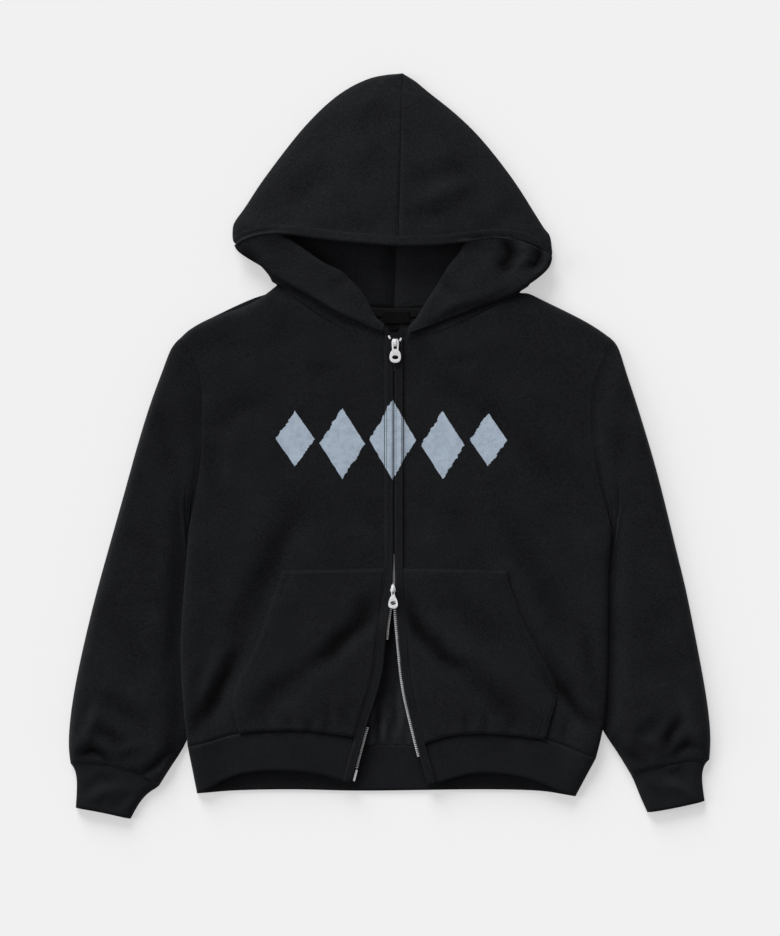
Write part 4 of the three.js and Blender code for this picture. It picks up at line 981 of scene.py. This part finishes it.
# Faces between the rings of a small closed form, and over its two ends
def ringFaces(base, rings, sides):
    faces = []
    for ring in range(rings - 1):
        for k in range(sides):
            a, b = base + ring * sides + k, base + ring * sides + (k + 1) % sides
            faces.append((a, b, b + sides, a + sides))
    faces.append(tuple(base + sides - 1 - k for k in range(sides)))
    faces.append(tuple(base + sides * (rings - 1) + k for k in range(sides)))
    return faces


stitch = {"pitch": 3.3, "length": 2.6, "radius": 0.42, "sunk": 0.08}
shadowCordLook = {"pitch": 3.0, "length": 3.5, "radius": 0.62, "sunk": -0.05}
stitchForm = {"rings": ((-0.5, 0.35), (-0.32, 0.9), (0.32, 0.9), (0.5, 0.35)), "sides": 6, "flattened": 0.8}


def stitchRow(path, trees, into, look):
    spots = spread(path, look["pitch"])
    runs = np.gradient(spots, axis=0)
    for (x, y), run in zip(spots, runs):
        found = dropOnto(trees, x, y)
        if not found:
            continue
        spot, normal = found
        normal = normal if normal.z > 0 else -normal
        forward = Vector((run[0], run[1], 0)).normalized()
        forward = (forward - normal * forward.dot(normal)).normalized()
        aside = normal.cross(forward)
        base = len(into["points"])
        for place, girth in stitchForm["rings"]:
            for k in range(stitchForm["sides"]):
                angle = 2 * math.pi * k / stitchForm["sides"]
                offset = aside * math.cos(angle) + normal * math.sin(angle) * stitchForm["flattened"]
                along = forward * place * look["length"] + normal * look["sunk"]
                into["points"].append(spot + (along + offset * girth * look["radius"]) * mm)
        into["faces"] += ringFaces(base, len(stitchForm["rings"]), stitchForm["sides"])


def sew(name, rows, look=stitch, material=thread):
    into = {"points": [], "faces": []}
    for path, trees in rows:
        stitchRow(path, trees, into, look)
    mesh = bpy.data.meshes.new(name)
    mesh.from_pydata(into["points"], [], into["faces"])
    mesh.shade_smooth()
    piece = addObject(name, mesh, material)
    return piece


# Where a piece's edges cross a line at one height up the garment
def spanAt(piece, y):
    points = getPoints(piece)
    pairs = np.array([edge.vertices[:] for edge in piece.data.edges])
    low, high = points[pairs[:, 0]], points[pairs[:, 1]]
    crossing = (low[:, 1] - y) * (high[:, 1] - y) < 0
    low, high = low[crossing], high[crossing]
    if not len(low):
        return None
    share = ((y - low[:, 1]) / (high[:, 1] - low[:, 1]))[:, None]
    met = low + share * (high - low)
    return met[met[:, 0].argmin()], met[met[:, 0].argmax()]


signs = {"left": -1, "right": 1}  # the left side lies at negative x


# The piece's outer and inner edge points at one height
def outerAndInner(piece, y, side):
    span = spanAt(piece, y)
    return span if span is None or side == "left" else span[::-1]


placketSewing = {"heights": (136, -430, -9), "fromOuter": 1.7, "fromInner": 1.9, "shadow": 2.1}
rows, shadowCordRows = [], []
for side, sign in signs.items():
    trees = surfaces([plackets[side]])
    below = surfaces([fronts[side], pockets[side], band])
    outerLine, innerLine = [], []
    for y in np.arange(*placketSewing["heights"]):
        ends = outerAndInner(plackets[side], y, side)
        if ends is not None:
            outerLine.append((ends[0][0] - sign * placketSewing["fromOuter"], y))
            innerLine.append((ends[1][0] + sign * placketSewing["fromInner"], y))
    rows += [(outerLine, trees), (innerLine, trees)]
    # A cord beside the placket's outer edge: painted shadow
    shadowCordRows.append(([(x + sign * placketSewing["shadow"], y) for x, y in outerLine], below))
sew("placketStitches", rows)

pocketLines = {
    "left": [
        [(-141, -166), (-80, -164), (-14, -163.2)],
        [(-144.5, -168), (-157, -203), (-176, -258.5), (-198, -301.5), (-210.5, -322), (-199.5, -368)],
        [(-132.5, -168), (-146.5, -206), (-165, -262), (-187, -306), (-198.5, -325), (-189, -366)],
    ],
    "right": [
        [(16, -164.5), (80, -168), (143, -171.5)],
        [
            (146, -172), (158.5, -212), (177.5, -253.5), (194.5, -284.5),
            (210.5, -321), (203.5, -346), (195, -376),
        ],
        [(134.5, -173), (147, -215), (166, -258), (183, -289), (198.5, -321), (192.5, -344), (185, -372)],
    ],
}
rows = []
for side, lines in pocketLines.items():
    trees = surfaces([pockets[side]])
    rows += [(line, trees) for line in lines]
sew("pocketStitches", rows)

# Near-black cords laid tight against plackets, pockets and armholes stand in for the shadow along those edges:
# painted shadow
shadowLines = {
    "left": {"top": (-140, -14, 6)},
    "right": {"top": (18, 144, 6)},
    "search": (-150, -178, -0.5),
    "above": 0.7,
    "flank": (-168, -372, -6),
    "beside": 0.6,
    "armhole": (66, -112, -6),
}
for side, sign in signs.items():
    trees = surfaces([pockets[side]])
    top = []
    for x in np.arange(*shadowLines[side]["top"]):
        reached = [y for y in np.arange(*shadowLines["search"]) if dropOnto(trees, x, y)]
        if reached:
            top.append((x, reached[0] + shadowLines["above"]))
    flankEnds = [(outerAndInner(pockets[side], y, side), y) for y in np.arange(*shadowLines["flank"])]
    flank = [(ends[0][0] + sign * shadowLines["beside"], y) for ends, y in flankEnds if ends is not None]
    holeEnds = [(outerAndInner(sleeves[side], y, side), y) for y in np.arange(*shadowLines["armhole"])]
    armhole = [(ends[1][0], y) for ends, y in holeEnds if ends is not None]
    shadowCordRows += [(top, surfaces([fronts[side]])), (flank, surfaces([fronts[side]]))]
    shadowCordRows.append((armhole, surfaces([sleeves[side], fronts[side]])))
sew("edgeThreads", shadowCordRows, shadowCordLook, paintedShadowCord)

# The hood's hem is turned over its front edge, from one tip to the other
hoodHem = {
    "slot": "fleece",
    "flat": (0.48, 0.017),
    "step": 3.4,
    "thick": 1.3,
    "search": (0.5, 12.6, 0.5),
    "margin": 0.8,
    "rimRest": 1.5,
    "fallback": 20,
    "evened": 3,
    "seamStep": 6,
    "seamIn": 10.6,
}
rimPath = [
    (-203.5, 259.5), (-197, 264.8), (-186, 269.5), (-172, 273), (-152, 275), (-128, 273.5), (-101, 269.5),
    (-61, 264.5), (-22, 261), (6, 259), (30, 259.3), (55, 260.5), (75, 262.5), (95, 265), (128, 269.5),
    (150, 268.5), (170, 264.5), (186, 258.5), (196, 252), (202.5, 246),
]
hemProfile = ((-1.2, -0.6), (-0.6, 0.7), (0.8, 1.3), (3.5, 1.1), (7.0, 0.9), (10.2, 0.5), (12.0, -0.7))
hoodSeamTop = [(4, 262), (4.3, 284)]
hoodMoves = {"left": [(-53, 222, -3.2, -2, 12)], "right": [(207, 257, -3.4, 0, 14)]}


def rimSpots(step):
    spots = spread(rimPath, step)
    runs = np.gradient(spots, axis=0)
    return spots, np.stack([-runs[:, 1], runs[:, 0]], 1) / np.linalg.norm(runs, axis=1)[:, None]


# Rows of points across the hem, each as high as the hood below it, and no wider than the hood
def hemGrid(trees):
    margin, rimRest = hoodHem["margin"], hoodHem["rimRest"]
    grid = []
    for rim, inward in zip(*rimSpots(hoodHem["step"])):
        reaches = [a for a in np.arange(*hoodHem["search"]) if dropOnto(trees, *(rim + inward * (a + margin)))]
        narrow = min(1, max(reaches, default=hoodHem["search"][0]) / hemProfile[-1][0])
        line = []
        for away, rise in hemProfile:
            under = [dropOnto(trees, *(rim + inward * a * narrow)) for a in (max(away, rimRest), away)]
            heights = [found[0].z / mm for found in under if found]
            line.append((*(rim + inward * away * narrow), max(heights, default=hoodHem["fallback"]) + rise))
        grid.append(line)
    grid = np.array(grid)
    for turn in range(hoodHem["evened"]):
        grid[1:-1, :, 2] = (grid[:-2, :, 2] + 2 * grid[1:-1, :, 2] + grid[2:, :, 2]) / 4
    return grid


def shellFrom(name, grid, thick, material):
    rows, columns = grid.shape[:2]
    lower = grid - (0, 0, thick)
    points = np.concatenate([grid.reshape(-1, 3), lower.reshape(-1, 3)]) * mm
    top = np.arange(rows * columns).reshape(rows, columns)
    low = top + rows * columns
    last = columns - 1
    faces = []
    for i in range(rows - 1):
        for j in range(columns - 1):
            faces.append((top[i, j], top[i, j + 1], top[i + 1, j + 1], top[i + 1, j]))
            faces.append((low[i, j], low[i + 1, j], low[i + 1, j + 1], low[i, j + 1]))
        faces.append((top[i, 0], top[i + 1, 0], low[i + 1, 0], low[i, 0]))
        faces.append((top[i, last], low[i, last], low[i + 1, last], top[i + 1, last]))
    for j in range(columns - 1):
        faces.append((top[0, j], low[0, j], low[0, j + 1], top[0, j + 1]))
        faces.append((top[rows - 1, j], top[rows - 1, j + 1], low[rows - 1, j + 1], low[rows - 1, j]))
    mesh = bpy.data.meshes.new(name)
    mesh.from_pydata(points.tolist(), [], [tuple(int(k) for k in face) for face in faces])
    shape = bmesh.new()
    shape.from_mesh(mesh)
    bmesh.ops.recalc_face_normals(shape, faces=shape.faces)
    bmesh.ops.subdivide_edges(shape, edges=shape.edges, cuts=1, use_grid_fill=True, smooth=0.6)
    keepForm(shape, mesh)
    mesh.shade_smooth()
    return addObject(name, mesh, material)


for side, moves in hoodMoves.items():
    nudge(hoods[side], moves)
hem = shellFrom("hoodHem", hemGrid(surfaces(hoods.values())), hoodHem["thick"], fleecePaintedLightHood)
# The hem gets the middle value of the painted crease shade, neither paler nor darker
keepCreaseShade(hem, 0.0)
rim, inward = rimSpots(hoodHem["seamStep"])
hemLine = (rim + inward * hoodHem["seamIn"], surfaces([hem]))
sew("hoodStitches", [hemLine, (hoodSeamTop, surfaces([hem, *hoods.values()]))])

labelLine = [(-14.6, 174.2), (18.6, 174.2)]
sew("labelStitches", [(labelLine, surfaces([neckPieces["neckLabel"]]))])
print("stage: sewing")


# Zip teeth stand past the placket's edge where the zip is open
tooth = {
    "pitch": 2.6,
    "long": 4.2,
    "wide": 1.5,
    "high": 2.6,
    "rings": ((-0.5, 0.75), (-0.1, 0.75), (0.12, 1.0), (0.42, 1.0), (0.5, 0.7)),
    "section": ((-1, -0.6), (-1, 0.6), (-0.6, 1), (0.6, 1), (1, 0.6), (1, -0.6), (0.6, -1), (-0.6, -1)),
    "shows": 2.8,
    "closed": 0.5,
    "hidden": -1.2,
    "least": 0.6,
}
zipRun = {
    "edges": (139, -437, -3),
    "top": 128,
    "closedAbove": 96,
    "slider": -184,
    "sliderHalf": 5,
    "tapeBack": 0.4,
    "end": {"left": -420, "right": -402},
    "shown": {"left": ((-140, -252), (-363, -419)), "right": ((-140, -402),)},
    "start": {"left": 0.25, "right": 0.75},
}


def innerEdge(piece, side):
    ends = [outerAndInner(piece, y, side) for y in np.arange(*zipRun["edges"])]
    return np.array([found[1] for found in ends if found is not None])


def edgeAt(edge, y):
    return np.interp(-y, -edge[:, 1], edge[:, 0])


# How far a tooth stands out of the tape, at most to the middle of the open zip
def toothReach(side, y):
    shown = any(high > y > low for high, low in zipRun["shown"][side])
    reach = tooth["shows"] if shown else tooth["closed"] if y > zipRun["closedAbove"] else tooth["hidden"]
    apart = edgeAt(placketEdges["right"], y) - edgeAt(placketEdges["left"], y)
    return min(reach, max(tooth["least"], apart / 2))


def drawTapeBack(side, sign):
    points = getPoints(tapes[side])
    limit = edgeAt(placketEdges[side], points[:, 1])
    past = (limit - points[:, 0]) * sign > zipRun["tapeBack"]
    points[:, 0] = np.where(past, limit - sign * zipRun["tapeBack"], points[:, 0])
    setPoints(tapes[side], points)


def zipTeeth(side, sign):
    tapeEdge = innerEdge(tapes[side], side)
    lengths = lengthsAlong(tapeEdge)
    places = (np.arange(int(lengths[-1] / tooth["pitch"])) + zipRun["start"][side]) * tooth["pitch"]
    spots = placesOn(tapeEdge, lengths, places)
    points, faces = [], []
    for spot, run in zip(spots, np.gradient(spots, axis=0)):
        y = spot[1]
        if abs(y - zipRun["slider"]) < zipRun["sliderHalf"] or y > zipRun["top"] or y < zipRun["end"][side]:
            continue
        down = Vector(run).normalized()
        out = Vector((0, 0, 1)).cross(down).normalized()
        out = out if out.x * sign < 0 else -out
        up = down.cross(out).normalized()
        up = up if up.z > 0 else -up
        middle = Vector(spot) + out * (toothReach(side, y) - tooth["long"] * 0.5)
        base = len(points)
        for place, girth in tooth["rings"]:
            for across, tall in tooth["section"]:
                offset = down * across * girth * tooth["wide"] / 2 + up * tall * girth * tooth["high"] / 2
                points.append((middle + out * place * tooth["long"] + offset) * mm)
        faces += ringFaces(base, len(tooth["rings"]), len(tooth["section"]))
    mesh = bpy.data.meshes.new(side + "Teeth")
    mesh.from_pydata(points, [], faces)
    shape = bmesh.new()
    shape.from_mesh(mesh)
    bmesh.ops.recalc_face_normals(shape, faces=shape.faces)
    keepForm(shape, mesh)
    addObject(side + "Teeth", mesh, nickel)


placketEdges = {side: innerEdge(plackets[side], side) for side in signs}
for side, sign in signs.items():
    drawTapeBack(side, sign)
    zipTeeth(side, sign)
print("stage: teeth")


# Pale table, soft even light, mostly from above the hood
tableLook = {
    "half": 4.0,
    "drop": -0.0006,
    "sockets": {
        "Base Color": (0.50, 0.50, 0.50, 1),
        "Roughness": 0.9,
        "Specular IOR Level": 0.1,
        "Emission Color": (1, 1, 1, 1),
        "Emission Strength": 0.42,
    },
}
roomLook = {"colour": (0.99, 0.99, 1.0, 1), "strength": 0.36}
suns = {
    "windowLight": {"from": (-0.9, 2.6, 1.35), "spread": 34, "strength": 3.0},
    "sideLight": {"from": (-2.8, 0.2, 1.5), "spread": 34, "strength": 0.9},
}
overhead = {"place": (-0.0052, -0.0286, 3.985), "sensor": 36, "lens": 117.9, "far": 20}

half = tableLook["half"]
tableMesh = bpy.data.meshes.new("table")
corners = [(-half, -half, 0), (half, -half, 0), (half, half, 0), (-half, half, 0)]
tableMesh.from_pydata(corners, [], [(0, 1, 2, 3)])
tableMesh.materials.append(newMaterial("paleTable", tableLook["sockets"])[0])
table = bpy.data.objects.new("table", tableMesh)
table.location.z = tableLook["drop"]
scene.collection.objects.link(table)

room = bpy.data.worlds.new("softRoom")
room.use_nodes = True
room.node_tree.nodes["Background"].inputs["Color"].default_value = roomLook["colour"]
room.node_tree.nodes["Background"].inputs["Strength"].default_value = roomLook["strength"]
scene.world = room

for name, sun in suns.items():
    light = bpy.data.lights.new(name, "SUN")
    light.angle = math.radians(sun["spread"])
    light.energy = sun["strength"]
    lamp = bpy.data.objects.new(name, light)
    lamp.location = sun["from"]
    lamp.rotation_euler = (-Vector(sun["from"])).to_track_quat("-Z", "Y").to_euler()
    scene.collection.objects.link(lamp)

view = bpy.data.cameras.new("overhead")
view.sensor_fit = "VERTICAL"
view.sensor_height = overhead["sensor"]
view.lens = overhead["lens"]
view.clip_end = overhead["far"]
camera = bpy.data.objects.new("overhead", view)
camera.location = overhead["place"]
scene.collection.objects.link(camera)
scene.camera = camera
scene.view_settings.view_transform = "Standard"

print("stage: done")
